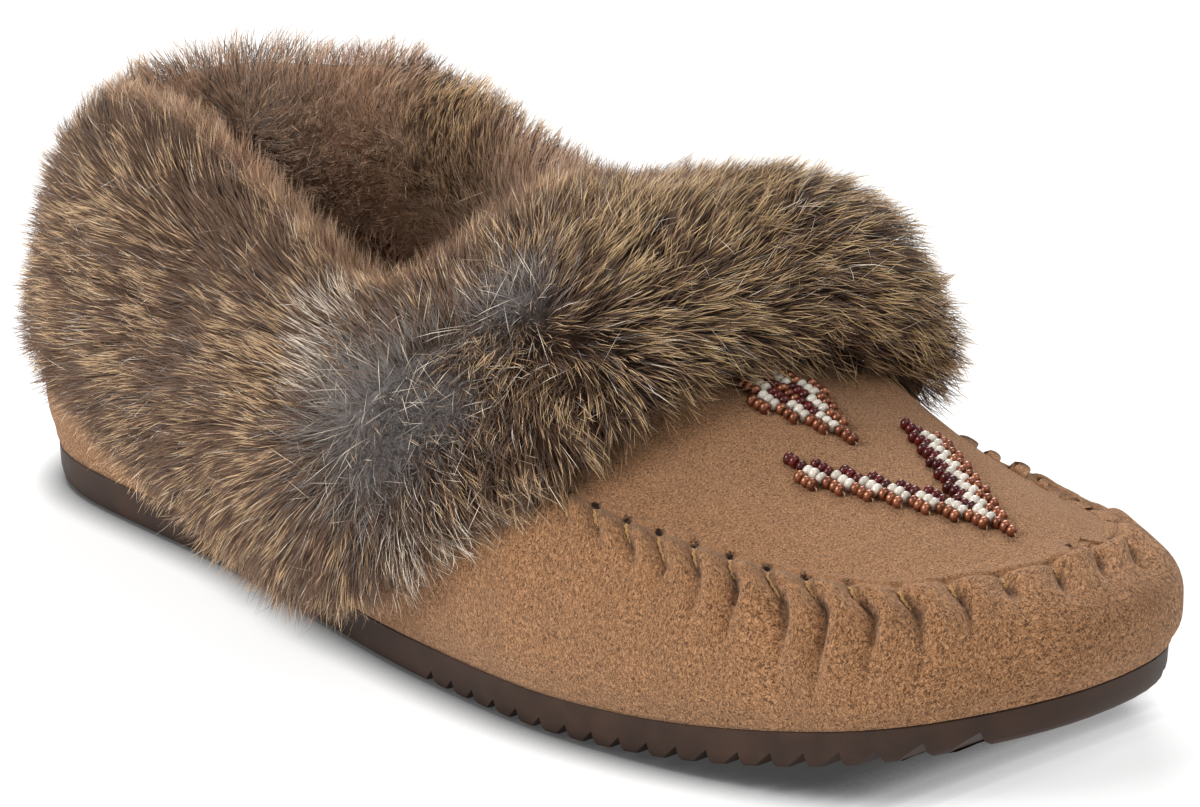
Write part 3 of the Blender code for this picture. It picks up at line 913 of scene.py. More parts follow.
        inward = np.concatenate([margin_in, low_in, wrap_in, vamp_in], axis=1)
        height = np.concatenate([margin_z, low_z, wrap_z, vamp_z], axis=1)
        return np.stack([edge_x + in_x * inward, edge_y + in_y * inward, height], axis=-1)

    def shoulder(self, last_turn: float) -> tuple[Array, Array]:
        """The seam line, followed closely.

        Args:
            last_turn: Turn where it ends; it starts at 0.

        Returns:
            Turns and points.
        """
        dense = np.linspace(0.0, last_turn, self.dense_steps)
        return dense, self.surface(dense, np.zeros(0), np.ones(1), np.zeros(0))[:, -1]

    def even_turns(self, fine: float, coarse: float, split_y: tuple[float, float]) -> Array:
        """Turns spaced evenly along the shoulder, fine at the toe, coarse at the heel.

        The medial turns mirror the lateral ones, so that both meet on the spine.

        Args:
            fine: Spacing in front.
            coarse: Spacing behind.
            split_y: Length coordinates between which one passes into the other.

        Returns:
            Turns from 0 up to but not including two pi.
        """
        dense, line = self.shoulder(math.pi)
        spacing = fine + (coarse - fine) * ease(*split_y, line[:, 1])
        legs = np.linalg.norm(np.diff(line, axis=0), axis=1) / spacing[1:]
        walked = np.concatenate([[0.0], np.cumsum(legs)])
        count = int(walked[-1])
        lateral = np.interp(np.arange(count + 1) * walked[-1] / count, walked, dense)
        return np.concatenate([lateral, 2 * math.pi - lateral[-2:0:-1]])


# -------------------------------------------------------------------- upper
@dataclass(frozen=True)
class Mound:
    """Soft hill on the plug: a bell in length along and down from the toe's seam."""

    along: float
    down: float
    length: float
    width: float
    height: float

    def at(self, along: Array, down: Array) -> Array:
        """Height there: height * exp(-(along / length)^2 - (down / width)^2)."""
        return self.height * np.exp(-((along - self.along) / self.length)**2
                                    - ((down - self.down) / self.width)**2)


@dataclass
class Upper:
    """Suede upper: smooth plug on the vamp, gathered wrap round it, raised seam."""

    last: Last
    finish: SuedeFinish = SuedeFinish()
    wall: float = 2.0
    anchor: float = -41.7
    crest: float = 1.8
    hole_size: float = 0.7
    hole_deep: float = 0.9
    hole_squeeze: float = 0.75
    hem_out: float = 0.75
    hem_down: float = 0.45
    fine_step: float = 0.62
    coarse_step: float = 3.4
    row_counts: tuple[int, int, int] = (10, 37, 27)
    split_y: tuple[float, float] = (-8.0, 34.0)
    full: Mound = Mound(94.0, -12.0, 24.0, 9.0, 6.4)
    hollow: Mound = Mound(-72.0, -19.0, 30.0, 11.0, 1.0)
    # Gathers along the seam from the toe tip: stitch pitch, how deep they are and
    # how far down they run, how far their creases lead forward, how high the rim
    # stands, the width of its foot on the plug, how low the wrap sits beside it,
    # and the place of the holes down from the last's seam.
    gathers: Table = Table("pitch deep run lead rim foot low line", (
        (-150.0, 6.9, 0.0, 6.0, 2.0, 0.0, 1.8, 0.0, 0.5),
        (-128.0, 6.9, 0.3, 6.0, 3.0, 0.1, 1.8, 0.0, 0.9),
        (-110.0, 6.9, 0.7, 6.0, 3.6, 0.3, 1.8, 0.0, 1.3),
        (-92.0, 6.9, 1.2, 7.0, 4.2, 0.4, 1.8, 0.0, 1.4),
        (-76.0, 6.8, 1.6, 9.0, 4.6, 0.4, 1.8, 0.0, 1.4),
        (-66.0, 6.8, 2.0, 11.0, 3.2, 0.4, 1.8, 0.0, 1.0),
        (-56.0, 6.9, 2.5, 15.0, 3.0, 0.4, 1.8, 0.0, 0.8),
        (-46.0, 6.9, 2.8, 20.0, 4.3, 0.4, 1.8, 0.0, 1.2),
        (-36.0, 7.6, 2.8, 21.0, 4.3, 0.5, 1.8, 0.0, 1.4),
        (-26.0, 7.8, 2.4, 18.0, 2.7, 0.6, 2.2, 0.0, 1.2),
        (-16.0, 8.6, 2.2, 13.0, 1.4, 1.2, 3.4, 0.0, 0.0),
        (-5.0, 9.7, 2.0, 10.0, -1.2, 1.6, 4.6, 0.0, -0.4),
        (8.0, 9.6, 2.0, 10.0, -4.0, 1.7, 4.6, 0.0, 0.0),
        (20.0, 9.8, 1.9, 11.0, -6.0, 1.7, 4.2, 0.3, 2.0),
        (30.0, 9.6, 1.9, 11.0, -5.0, 2.0, 2.6, 0.5, 1.6),
        (40.0, 8.2, 2.0, 12.0, -4.4, 2.3, 1.8, 1.5, 1.0),
        (52.0, 7.2, 2.0, 15.0, -4.0, 2.3, 1.8, 1.9, 0.4),
        (70.0, 6.9, 1.6, 15.0, -3.6, 1.4, 1.8, 2.0, 0.4),
        (92.0, 6.9, 1.2, 9.0, -3.6, 0.3, 1.8, 1.2, 0.6),
        (110.0, 6.9, 0.8, 6.0, -3.6, 0.3, 1.8, 0.6, 0.6),
        (128.0, 6.9, 0.3, 6.0, -3.0, 0.1, 1.8, 0.2, 0.5),
        (150.0, 6.9, 0.0, 6.0, -2.0, 0.0, 1.8, 0.0, 0.4)))
    tree: BVHTree | None = None
    skin: Array | None = None

    def __post_init__(self) -> None:
        """Walks the seam once: length and stitch count against turn."""
        self.dense, line = self.last.shoulder(2 * math.pi)
        walked = np.concatenate([[0.0], np.cumsum(np.linalg.norm(np.diff(line, axis=0), axis=1))])
        self.lengths = walked - np.interp(math.pi, self.dense, walked)
        pitch = self.gathers.read(self.lengths)["pitch"]
        count = np.concatenate([[0.0], np.cumsum(np.diff(self.lengths) / pitch[1:])])
        self.counts = count - np.interp(self.anchor, self.lengths, count)

    def rows(self) -> tuple[Array, Array, Array]:
        """Rows, which lie close together at the seam.

        Returns:
            Shares of the lower wrap, the upper wrap and the vamp.
        """
        under, wrap, vamp = (np.linspace(0.0, 1.0, count) for count in self.row_counts)
        return under**1.3, 1 - (1 - wrap[1:])**1.5, vamp[1:]**2.0

    def shape(self, turn: Array) -> tuple[Array, ...]:
        """Skin of the upper: the last moved out along its normals by the relief.

        The lowest row is let down on the sole and out to its edge.

        Args:
            turn: Turns of the columns, a closed ring or any small set.

        Returns:
            Points (columns, rows, 3), normals, length down from the seam, length
            below the holes, stitch cycle and groove depth.
        """
        under, wrap, vamp = self.rows()
        points = self.last.surface(turn, under, wrap, vamp)
        beside = self.last.surface(turn + 1e-4, under, wrap, vamp)
        normals = unit(np.cross(beside - points, np.gradient(points, axis=1)))
        shoulder = 2 + len(under) + len(wrap) - 1
        legs = np.linalg.norm(np.diff(points, axis=1), axis=2)
        walked = np.concatenate([np.zeros((len(turn), 1)), np.cumsum(legs, axis=1)], axis=1)
        down = walked[:, shoulder:shoulder + 1] - walked
        along = np.interp(turn, self.dense, self.lengths)[:, None]
        lift, below, cycle, pulled = self.relief(along, down)
        lift = lift * ease(0.0, 2.0, walked[:, -1:] - walked)
        _, _, in_x, in_y, _, _ = self.last.columns(turn)
        hem = np.zeros(points.shape[1])
        hem[2:2 + len(under)] = 1 - ease(0.0, 0.16, under)
        out = np.stack([-in_x * self.hem_out, -in_y * self.hem_out,
                        np.full_like(in_x, -self.hem_down)], -1)
        shaped = points + normals * (lift * (1 - hem))[..., None] + out[:, None] * hem[:, None]
        return shaped, normals, down, below, cycle, pulled

    def lead(self, along: Array, below: Array) -> Array:
        """How far a crease has swung forward at a length below its hole."""
        swing = ease(0.0, 8.0, below) - 0.22 * ease(10.0, 18.0, below)
        return self.gathers.read(along)["lead"] * swing

    def stitched(self, along: Array) -> Array:
        """How far the seam is stitched there, from 0 to 1."""
        return np.clip(self.gathers.read(along)["deep"] * 1.4 - 0.4, 0, 1)

    def open_holes(self, along: Array) -> Array:
        """How far the holes gape there: as the seam is stitched, less near the toe tip."""
        return self.stitched(along) * (1 - 0.8 * ease(-39.0, -31.0, along)
                                       * ease(32.0, 24.0, along))

    def stitch_cycle(self, along: Array, below: Array) -> Array:
        """Stitches counted along the seam, followed down the creases and a little uneven.

        Args:
            along: Length along the seam from the toe tip.
            below: Length below the holes.

        Returns:
            Count, a whole number at each hole and between two gathers.
        """
        source = along - self.lead(along - self.lead(along, below), below)
        cycle = np.interp(source, self.lengths, self.counts)
        return cycle + (0.05 * np.sin(cycle * 2.1) + 0.04 * np.sin(cycle * 3.7 + 1.0)) * ease(
            3.0, 12.0, below)

    def rim(self, row: dict[str, Array], below: Array, number: Array, lobe: Array) -> Array:
        """Raised rim: a bell across the seam, scalloped once a stitch, wrap low beside it.

        Args:
            row: Gathers there.
            below: Length below the holes.
            number: Number of the gather.
            lobe: Its roundness, 1 on its back and 0 in the groove.

        Returns:
            Lift in millimetres.
        """
        over = below - self.crest
        dip = 0.9 * (1 - np.sqrt(lobe)) * np.minimum(1.0, 2.0 / np.maximum(row["rim"], 0.1))
        width = np.where(over < 0, row["foot"], 3.4 - 1.2 * np.clip(row["rim"] - 0.4, 0, 1))
        rim = row["rim"] * (1 - dip) * (0.9 + 0.2 * np.sin(number * 4.1))
        rim = rim * np.exp(-np.abs(over / width)**1.6)
        return rim - row["low"] * ease(0.0, 1.6, below) * np.exp(-np.maximum(over, 0) / 7.0)

    def relief(self, along: Array, down: Array) -> tuple[Array, Array, Array, Array]:
        """Height of rim, gathers and holes at a place on the shell.

        The rim has a lip on the plug and a valley along the holes. Each gather is
        a rounded lobe, steeper on its heel side, that swells below the rim and
        fades out at the end of its run. A hole is a small dent. The plug is a
        little hollow on its outer side and full on its inner side.

        Args:
            along: Length along the seam from the toe tip.
            down: Length down the wrap from the seam, negative on the plug.

        Returns:
            Lift in millimetres, length below the holes, stitch cycle, and how
            deep its grooves are, 0 to 1.
        """
        row = self.gathers.read(along)
        below = down - row["line"]
        cycle = self.stitch_cycle(along, below)
        number = np.floor(cycle)
        part = cycle - number
        forward = 0.5 - 0.5 * np.tanh(along / 8.0)
        skew = forward * (1 - (1 - part)**1.6) + (1 - forward) * part**1.6
        lobe = 1 - np.abs(2 * skew - 1)**2.0
        away = (0.5 - np.abs(part - 0.5)) * row["pitch"]

        uneven = 0.92 + 0.15 * np.sin(number * 2.3) + 0.10 * np.sin(number * 5.1 + 2.0)
        run = row["run"] * (0.95 + 0.20 * np.sin(number * 3.7 + 0.5))
        fade = ease(0.4, 3.6, below) * (1 - ease(run * 0.45, run * 1.15, below))
        gather = row["deep"] * uneven * fade * (lobe - 0.5)
        notch = -0.45 * row["deep"] * fade * np.exp(-(away / 0.75)**2)

        stitched = self.stitched(along)
        lip = 0.22 * np.exp(-((below + 0.9) / 0.8)**2) - 0.40 * np.exp(-((below - 0.2) / 0.6)**2)
        pinch = -0.5 * stitched * np.exp(-(away / 0.9)**2 - ((below - 1.6) / 1.3)**2)
        hole = np.exp(-(away * self.hole_squeeze / self.hole_size)**2
                      - (below / self.hole_size)**2)
        lift = (self.rim(row, below, number, lobe) + stitched * lip
                - self.open_holes(along) * self.hole_deep * hole + gather + notch + pinch
                + self.full.at(along, down) - self.hollow.at(along, down))

        pulled = ease(1.5, 4.0, below) * (1 - ease(run * 0.30, run * 1.0, below))
        return lift, below, cycle, pulled * np.clip(row["deep"] * 0.6, 0, 1)

    def place(self, along: Array, down: Array, lift: Array) -> Array:
        """Points lifted off the skin.

        Args:
            along: Lengths along the seam.
            down: Lengths down from it.
            lift: Heights over the skin.

        Returns:
            Points, each between the two rows round its length down.
        """
        turn = np.interp(along, self.lengths, self.dense)
        points, normals, downs = self.shape(turn)[:3]
        points = points + normals * lift[:, None, None]
        index = np.clip(np.sum(downs > down[:, None], axis=1) - 1, 0, downs.shape[1] - 2)
        each = np.arange(len(turn))
        start, end = downs[each, index], downs[each, index + 1]
        share = ((start - down) / (start - end))[:, None]
        return points[each, index] * (1 - share) + points[each, index + 1] * share

    def build(self) -> None:
        """Builds the shell up to the collar line, with its real wall."""
        turn = self.last.even_turns(self.fine_step, self.coarse_step, self.split_y)
        points, _, _, below, cycle, pulled = self.shape(turn)
        columns, rows = points.shape[:2]
        faces = grid_faces(columns, rows, closed_rows=True)
        keep = points[..., 2] <= self.last.collar.read(points[..., 1])["height"]
        faces = faces[np.all(keep.ravel()[faces], axis=1)]
        used = np.unique(faces)
        renumber = np.zeros(columns * rows, int)
        renumber[used] = np.arange(len(used))
        self.skin = points.reshape(-1, 3)[used]
        self.tree = BVHTree.FromPolygons(self.skin.tolist(), renumber[faces].tolist())
        shell = make_piece("upper_suede", self.skin, [renumber[faces]], self.finish.material())
        holes = self.open_holes(np.interp(turn, self.dense, self.lengths))
        give_marks(shell, groove=pulled.ravel()[used], gather=np.repeat(holes, rows)[used])
        seam = np.stack([cycle + 40.0, below], -1).reshape(-1, 2)
        give_map(shell, "seam", seam[used])
        with editing(shell.data) as work:
            bmesh.ops.remove_doubles(work, verts=work.verts, dist=0.01 * MM)
        solid = shell.modifiers.new("wall", 'SOLIDIFY')
        solid.thickness = self.wall * MM
        solid.offset = -1.0
        settle(shell, "suede", "upper")


# ----------------------------------------------------------------- trimmings
def tube(paths: Array, radius: float, sides: int) -> tuple[Array, Array, Array]:
    """Round tubes along many paths, with closed ends drawn in to a point.

    Each section is a circle in the plane across the path, and its radius is
    the square root of a bell at the two ends.

    Args:
        paths: Points (paths, steps, 3).
        radius: Radius.
        sides: Sides of the section.

    Returns:
        Vertices (n, 3), quads, and each vertex's map place (n, 2).
    """
    count, steps = paths.shape[:2]
    run = unit(np.gradient(paths, axis=1))
    first = unit(np.cross(run, np.array([0.31, 0.22, 0.92])))[:, :, None]
    second = np.cross(run[:, :, None], first)
    angle = (np.arange(sides) * 2 * math.pi / sides)[:, None]
    share = np.linspace(0.0, 1.0, steps)
    swell = radius * np.sqrt(np.clip(1 - np.abs(2 * share - 1)**24, 0.0, 1.0))
    ring = first * np.cos(angle) + second * np.sin(angle)
    points = paths[:, :, None] + ring * swell[None, :, None, None]
    quads = grid_faces(steps, sides, closed_columns=True)
    all_quads = (quads[None] + (np.arange(count) * steps * sides)[:, None, None]).reshape(-1, 4)
    around = np.broadcast_to((np.arange(sides) / sides)[None, None], (count, steps, sides))
    length = np.broadcast_to(share[None, :, None], (count, steps, sides))
    return points.reshape(-1, 3), all_quads, np.stack([around, length], -1).reshape(-1, 2)


@dataclass
class Stitching:
    """Waxed thread that whips the gathered wrap to the plug, a stitch a gather."""

    upper: Upper
    finish: ThreadFinish = ThreadFinish()
    ply_radius: float = 0.21
    ply_offset: float = 0.17
    ply_turns: float = 2.2
    steps: int = 17
    taut_rounds: int = 5
    # Height of the path over the suede, its arch, and how far its ends sink in.
    clear: float = 0.14
    arch: float = 0.24
    sinks: tuple[float, float] = (1.1, 0.9)
    uneven: float = 0.16
    lengths: tuple[float, float] = (-112.0, 112.0)
    # Where a stitch starts and ends below its hole, by its place along the seam.
    spans: Table = Table("start end", (
        (-120.0, 0.2, 4.0), (-60.0, 0.2, 5.2), (-30.0, 0.2, 5.0), (-12.0, 0.4, 4.0),
        (0.0, 0.8, 3.0), (16.0, 0.8, 3.0), (30.0, 0.8, 3.6), (120.0, 0.6, 3.8)))

    def build(self) -> None:
        """Builds the stitches: two plies from each hole over the rim into its groove.

        The plies turn round a path, and the difference between that path and
        another one just over it gives the way off the suede.
        """
        upper = self.upper
        first, last = np.interp(self.lengths, upper.lengths, upper.counts)
        numbers = np.arange(math.ceil(first), math.floor(last) + 1)[:, None]
        share = np.linspace(0.0, 1.0, self.steps)[None]
        stitch = np.interp(numbers, upper.counts, upper.lengths)
        span = self.spans.read(stitch)
        end = span["end"] * (1 + self.uneven * np.sin(numbers * 4.3))
        below = span["start"] + (end - span["start"]) * share
        along = stitch + upper.lead(stitch + 0 * share, below)
        down = below + upper.gathers.read(along)["line"]
        start_sink, end_sink = self.sinks
        sink = start_sink * (1 - ease(0.0, 0.10, share)) + end_sink * ease(0.82, 1.0, share)
        lift = self.clear + self.arch * np.sin(share * math.pi) - sink
        paths = [upper.place(along.ravel(), down.ravel(), (lift + more + 0 * along).ravel())
                 .reshape(len(numbers), self.steps, 3) for more in (0.0, 0.1)]
        for _ in range(self.taut_rounds):
            for path in paths:
                path[:, 1:-1] = (path[:, :-2] + 2 * path[:, 1:-1] + path[:, 2:]) / 4
        normal = unit(paths[1] - paths[0])
        side = unit(np.cross(normal, np.gradient(paths[0], axis=1)))
        angle = (share * self.ply_turns + numbers * 0.37)[..., None] * 2 * math.pi
        offset = (normal * np.cos(angle) + side * np.sin(angle)) * self.ply_offset
        plies = np.concatenate([paths[0] + offset, paths[0] - offset])
        points, quads, ply = tube(plies, self.ply_radius, 6)
        thread = make_piece("seam_thread", points, [quads], self.finish.material())
        give_map(thread, "ply", ply)
        settle(thread, "suede")


@dataclass
class Beadwork:
    """Glass seed beads in strings of three: a chevron and a diamond on the plug.

    Each letter of an order is a string of three beads: C copper, W pearl and M
    garnet, from the toe towards the cuff.
    """

    upper: Upper
    centre_x: float = 2.5
    column_pitch: float = 2.28
    bead_pitch: float = 1.5
    string_gap: float = 0.1
    radius: float = 1.13
    hole: float = 0.34
    half_length: float = 0.86
    bead_rows: int = 7
    bead_sides: int = 12
    sink: float = 0.95
    drop_from: float = 90.0
    chevron_tip_y: float = -106.3
    chevron_shift: float = 4.2
    chevron_columns: int = 6
    chevron_order: str = "CWM"
    diamond_middle_y: float = -54.9
    diamond_columns: int = 3
    diamond_order: str = "CWMCMWC"
    thread_radius: float = 0.14
    # How far the thread goes past the outer beads' middles, as a share of their
    # distance, and how far it dives under them there.
    thread_past: float = 0.62
    thread_dives: tuple[float, float] = (0.35, 1.1)
    thread_colour: Colour = linear(176, 152, 122)
    # How far beads stray, how far they lean and turn, and how their sizes differ.
    stray: float = 0.07
    lean: float = 0.09
    turn: float = 0.10
    uneven: float = 0.035
    seed: int = 11
    finishes: tuple[tuple[str, BeadFinish], ...] = (
        ("C", BeadFinish(BeadKind.COPPER, linear(168, 110, 82), linear(126, 78, 58),
                         metallic=0.85, roughness=0.38, coat=0.15)),
        ("W", BeadFinish(BeadKind.PEARL, linear(226, 218, 204), linear(196, 187, 174),
                         metallic=0.0, roughness=0.25, coat=0.6)),
        ("M", BeadFinish(BeadKind.GARNET, linear(92, 22, 18), linear(60, 15, 13),
                         metallic=0.0, roughness=0.22, coat=0.0)))

    def strings(self) -> list[tuple[float, float, str]]:
        """Lays out the strings of three beads, column by column.

        Returns:
            Middle x, middle y and colour letter of each string.
        """
        step = 3 * self.bead_pitch + self.string_gap
        rows = []
        for column in range(-self.chevron_columns - 1, self.chevron_columns + 2):
            tip = self.chevron_tip_y + abs(column) * self.chevron_shift + self.bead_pitch
            whole = abs(column) <= self.chevron_columns
            order = self.chevron_order if whole else self.chevron_order[0]
            rows += [(self.centre_x + column * self.column_pitch, tip + k * step, letter)
                     for k, letter in enumerate(order)]
        for column in range(-self.diamond_columns, self.diamond_columns + 1):
            count = len(self.diamond_order) - 2 * abs(column)
            half = self.diamond_order[:(count + 1) // 2]
            rows += [(self.centre_x + column * self.column_pitch,
                      self.diamond_middle_y + (k - (count - 1) / 2) * step, letter)
                     for k, letter in enumerate(half + half[-2::-1])]
        return rows

    def template(self) -> tuple[Array, Array]:
        """One bead along Y: an ellipse turned round the axis, pierced by the hole.

        Returns:
            Points and quads.
        """
        reach = math.acos(self.hole / self.radius)
        profile = np.linspace(-reach, reach, self.bead_rows)[None]
        around = np.arange(self.bead_sides)[:, None] * 2 * math.pi / self.bead_sides
        radius = self.radius * np.cos(profile)
        length = self.half_length * np.sin(profile) + 0 * around
        points = np.stack([radius * np.cos(around), length, radius * np.sin(around)], -1)
        return points.reshape(-1, 3), grid_faces(self.bead_sides, self.bead_rows, True, True)

    def lay(self) -> tuple[dict[str, list[tuple[float, ...]]], list[list[Vector]]]:
        """Drops every string on the suede.

        Returns:
            Letter to the middle and normal of each bead, and the path of the
            thread through each string.
        """
        beads = {letter: [] for letter, _ in self.finishes}
        threads = []
        for x, y, letter in self.strings():
            places = []
            for k in (-1, 0, 1):
                above = Vector((x, y + k * self.bead_pitch, self.drop_from))
                hit, normal = self.upper.tree.ray_cast(above, Vector((0, 0, -1)))[:2]
                places.append(hit + normal * self.sink)
                beads[letter].append((*places[-1], *normal))
            run = (places[2] - places[0]) * 0.5
            ends = [places[0] - run * self.thread_past, places[2] + run * self.thread_past]
            small, deep = (normal * dive for dive in self.thread_dives)
            threads.append([ends[0] - deep, ends[0] - small, *places,
                            ends[1] - small, ends[1] - deep])
        return beads, threads

    def build(self) -> None:
        """Builds one piece a colour, and the thread through the strings."""
        rng = np.random.default_rng(self.seed)
        template, quads = self.template()
        beads, threads = self.lay()
        for letter, finish in self.finishes:
            rows = np.array(beads[letter], float)
            count = len(rows)
            place = rows[:, :3] + rng.normal(0, self.stray, (count, 3))
            up = unit(rows[:, 3:] + rng.normal(0, self.lean, (count, 3)))
            ahead = np.array([[0.0, 1.0, 0.0]]) + rng.normal(0, self.turn, (count, 3))
            along = unit(flat_on(ahead, up))
            side = np.cross(along, up)
            turned = np.einsum('vk,nkj->nvj', template, np.stack([side, along, up], 1))
            points = place[:, None] + turned * rng.normal(1.0, self.uneven, (count, 1, 1))
            faces = quads[None] + (np.arange(count) * len(template))[:, None, None]
            piece = make_piece("beads_" + finish.kind.value, points.reshape(-1, 3),
                               [faces.reshape(-1, 4)], finish.material())
            with editing(piece.data) as work:
                bmesh.ops.recalc_face_normals(work, faces=work.faces)
            settle(piece, "suede")
        n = Nodes("bead_thread")
        n.shade(Base_Color=self.thread_colour, Roughness=0.7)
        paths = np.array([[tuple(point) for point in path] for path in threads])
        lines, quads, _ = tube(paths, self.thread_radius, 6)
        settle(make_piece("bead_thread", lines, [quads], n.material), "suede")


# ----------------------------------------------------------------- fur cuff
@dataclass(frozen=True)
class Coat:
    """One growth of hair: how much, how long and how it lies.

    Rows run along a hair from 0 at the root to 1 at the tip, and lifts are its
    angles off the skin there, in radians. Stir bends hairs by patch and shake one
    by one, and hold says how strongly the hairs of a clump draw together. Roots
    are spread by bare + woolly * how grey the wool is.
    """

    name: str
    count: int
    bare: float
    woolly: float
    rows: tuple[float, ...]
    shortest: float
    spread: float
    lifts: tuple[float, float]
    half_width: float
    stir: float
    shake: float
    hold: float


@dataclass
class FurCuff:
    """Folded pelt round the collar: a skin under banded hair."""

    suede: Array
    sink: float = 3.4
    seed: int = 5
    piece_triangles: int = 190000
    lowest: float = 0.4
    part_size: int = 400
    # Sizes of the clumps and of the patches that stir, drift and colour the hair.
    clump_mm: float = 2.6
    stir_mm: float = 3.2
    drift_mm: float = 9.0
    shade_mm: tuple[float, float] = (4.6, 10.0)
    # How far clumps turn and patches drift, off the roll and more on it.
    turn: tuple[float, float] = (0.08, 0.17)
    drift: tuple[float, float] = (0.22, 0.30)
    # Golden and dusky hair is bolder by this, and hair in the wool finer and shorter.
    bolder: float = 1.4
    wool_finer: float = 0.35
    wool_shorter: float = 0.45
    wool_thinner: float = 0.55
    twist: float = 0.5
    # No hair grows closer than this to the suede that its skin faces.
    bare_gap: float = 5.0
    bare_facing: float = 0.45
    crest_thicker: float = 1.1
    coats: tuple[Coat, ...] = (
        Coat("down", 76000, 1.0, 2.2, (0.0, 0.5, 1.0), 5.2, 2.4, (1.0, 0.5), 0.085,
             stir=0.30, shake=0.30, hold=0.3),
        Coat("guard", 98000, 1.0, -0.93, (0.0, 0.34, 0.7, 1.0), 7.6, 2.8, (0.80, 0.14), 0.046,
             stir=0.24, shake=0.10, hold=0.9),
        Coat("stray", 2600, 0.2, 0.8, (0.0, 0.34, 0.7, 1.0), 5.5, 5.0, (0.62, 0.42), 0.050,
             stir=0.5, shake=0.9, hold=0.0))
    # The parting that the outer hair grows away from, over the near corner.
    parting: tuple[Point, ...] = (
        (-29.0, -25.0, 67.0), (-38.0, -14.0, 61.0), (-52.0, -7.0, 49.0))
    # The heel's inner hair fans out from here.
    heel_whorl: Point = (12.0, 100.0, 68.0)
    # Warm inner hair is painted lighter behind this line, against the shade deep in the heel, and
    # darker before it, where the key lamp lights it.
    shade_line_y: float = 50.0
    # Patches, each a middle and a reach: smooth grey wool, many cream hairs, and
    # gold on the far inner side.
    wool: tuple[Spot, ...] = ((-50.0, -6.0, 50.0, 11.0), (-47.0, -20.0, 52.0, 8.0),
                              (-53.0, -13.0, 40.5, 7.0), (-31.0, -22.0, 67.0, 6.0))
    pale: tuple[Spot, ...] = ((-50.0, -29.0, 24.0, 9.0), (-43.0, 10.0, 58.0, 4.5),
                              (-48.0, 9.0, 51.0, 4.0))
    gold_flank: tuple[Spot, ...] = ((16.0, 50.0, 65.0, 10.0), (19.0, 53.0, 77.0, 8.0))
    # Soft hills and dips of the pelt: middle, reach and shift.
    hills: tuple[tuple[Point, float, Point], ...] = (
        ((24.0, 38.0, 62.0), 13.0, (3.0, 0.0, -1.0)),
        ((17.0, 52.0, 68.0), 9.0, (-2.2, -0.8, 0.0)),
        ((-54.0, -8.0, 38.0), 16.0, (-2.2, 0.0, 1.0)),
        ((-48.0, 16.0, 52.0), 8.0, (1.6, 0.0, -0.5)),
        ((-30.0, -28.0, 68.0), 9.0, (-0.8, -0.8, 1.6)),
        ((13.0, 110.0, 78.0), 20.0, (0.0, 0.0, 2.2)),
        ((-14.0, 117.0, 73.0), 10.0, (0.0, 0.0, -4.4)),
        ((25.0, 66.0, 82.0), 13.0, (0.0, 0.0, 2.8)),
        ((31.0, 32.0, 73.0), 9.0, (0.0, 0.0, -2.4)),
        ((5.0, -24.0, 82.0), 11.0, (0.0, 0.0, -3.8)),
        ((36.0, -44.0, 73.0), 12.0, (1.4, -0.4, 2.0)),
        ((46.0, -51.0, 58.0), 10.0, (0.4, -0.2, -0.6)),
        ((-30.0, 114.0, 33.0), 14.0, (0.8, -2.6, 0.0)),
        ((-37.0, 92.0, 23.0), 13.0, (-0.6, 0.0, -3.2)),
        ((-42.0, 70.0, 19.0), 11.0, (-0.4, 0.0, -2.0)))

    def __post_init__(self) -> None:
        """Starts the random draws and the fields that bend and colour the hair."""
        self.rng = np.random.default_rng(self.seed)
        self.patches = Waves(self.seed)
        self.winds = [Waves(self.seed + k) for k in (1, 2, 3)]

    def form(self) -> tuple[Array, Array, Array]:
        """Smoothed copy of the cuff's solid, with its hills.

        Each hill shifts the points by its shift * exp(-(distance / reach)^2).

        Returns:
            Points, quads and normals.
        """
        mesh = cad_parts["fur_cuff"].data.copy()
        with editing(mesh) as work:
            bmesh.ops.remove_doubles(work, verts=work.verts, dist=0.02 * MM)
            bmesh.ops.join_triangles(work, faces=work.faces, angle_face_threshold=0.7,
                                     angle_shape_threshold=1.2)
        places = read_all(mesh.vertices, "co", 3) / MM
        for middle, reach, shift in self.hills:
            near = np.exp(-np.sum(((places - np.array(middle)) / reach)**2, axis=1))
            places = places + near[:, None] * np.array(shift)
        mesh.vertices.foreach_set("co", (places * MM).astype(np.float32).ravel())
        rough = link_new("cuff_form", mesh)
        finer = rough.modifiers.new("finer", 'SUBSURF')
        finer.levels = finer.render_levels = 1
        smooth = bpy.data.meshes.new_from_object(
            rough.evaluated_get(bpy.context.evaluated_depsgraph_get()))
        bpy.data.objects.remove(rough, do_unlink=True)
        return (read_all(smooth.vertices, "co", 3) / MM,
                read_all(smooth.loops, "vertex_index", kind=np.int32).reshape(-1, 4),
                read_all(smooth.vertex_normals, "vector", 3))

    def nearest(self, points: Array) -> tuple[Array, Array]:
        """Nearest point of the suede, worked out a part at a time.

        Args:
            points: Points of the pelt.

        Returns:
            Distances and unit directions.
        """
        best = np.empty(len(points))
        which = np.empty(len(points), int)
        for start in range(0, len(points), self.part_size):
            part = slice(start, start + self.part_size)
            gaps = np.linalg.norm(points[part, None] - self.suede[None], axis=2)
            which[part] = gaps.argmin(axis=1)
            best[part] = gaps.min(axis=1)
        return best, unit(self.suede[which] - points)

    def away(self, points: Array) -> Array:
        """Level unit direction away from the middle line of the opening."""
        middle = np.stack([0 * points[:, 0], np.clip(points[:, 1], 20.0, 85.0)], -1)
        return np.pad(unit(points[:, :2] - middle), ((0, 0), (0, 1)))

    def facing(self, points: Array, normals: Array) -> Array:
        """Cosine between each normal and the way out of the collar."""
        return np.sum(self.away(points) * normals, axis=1)

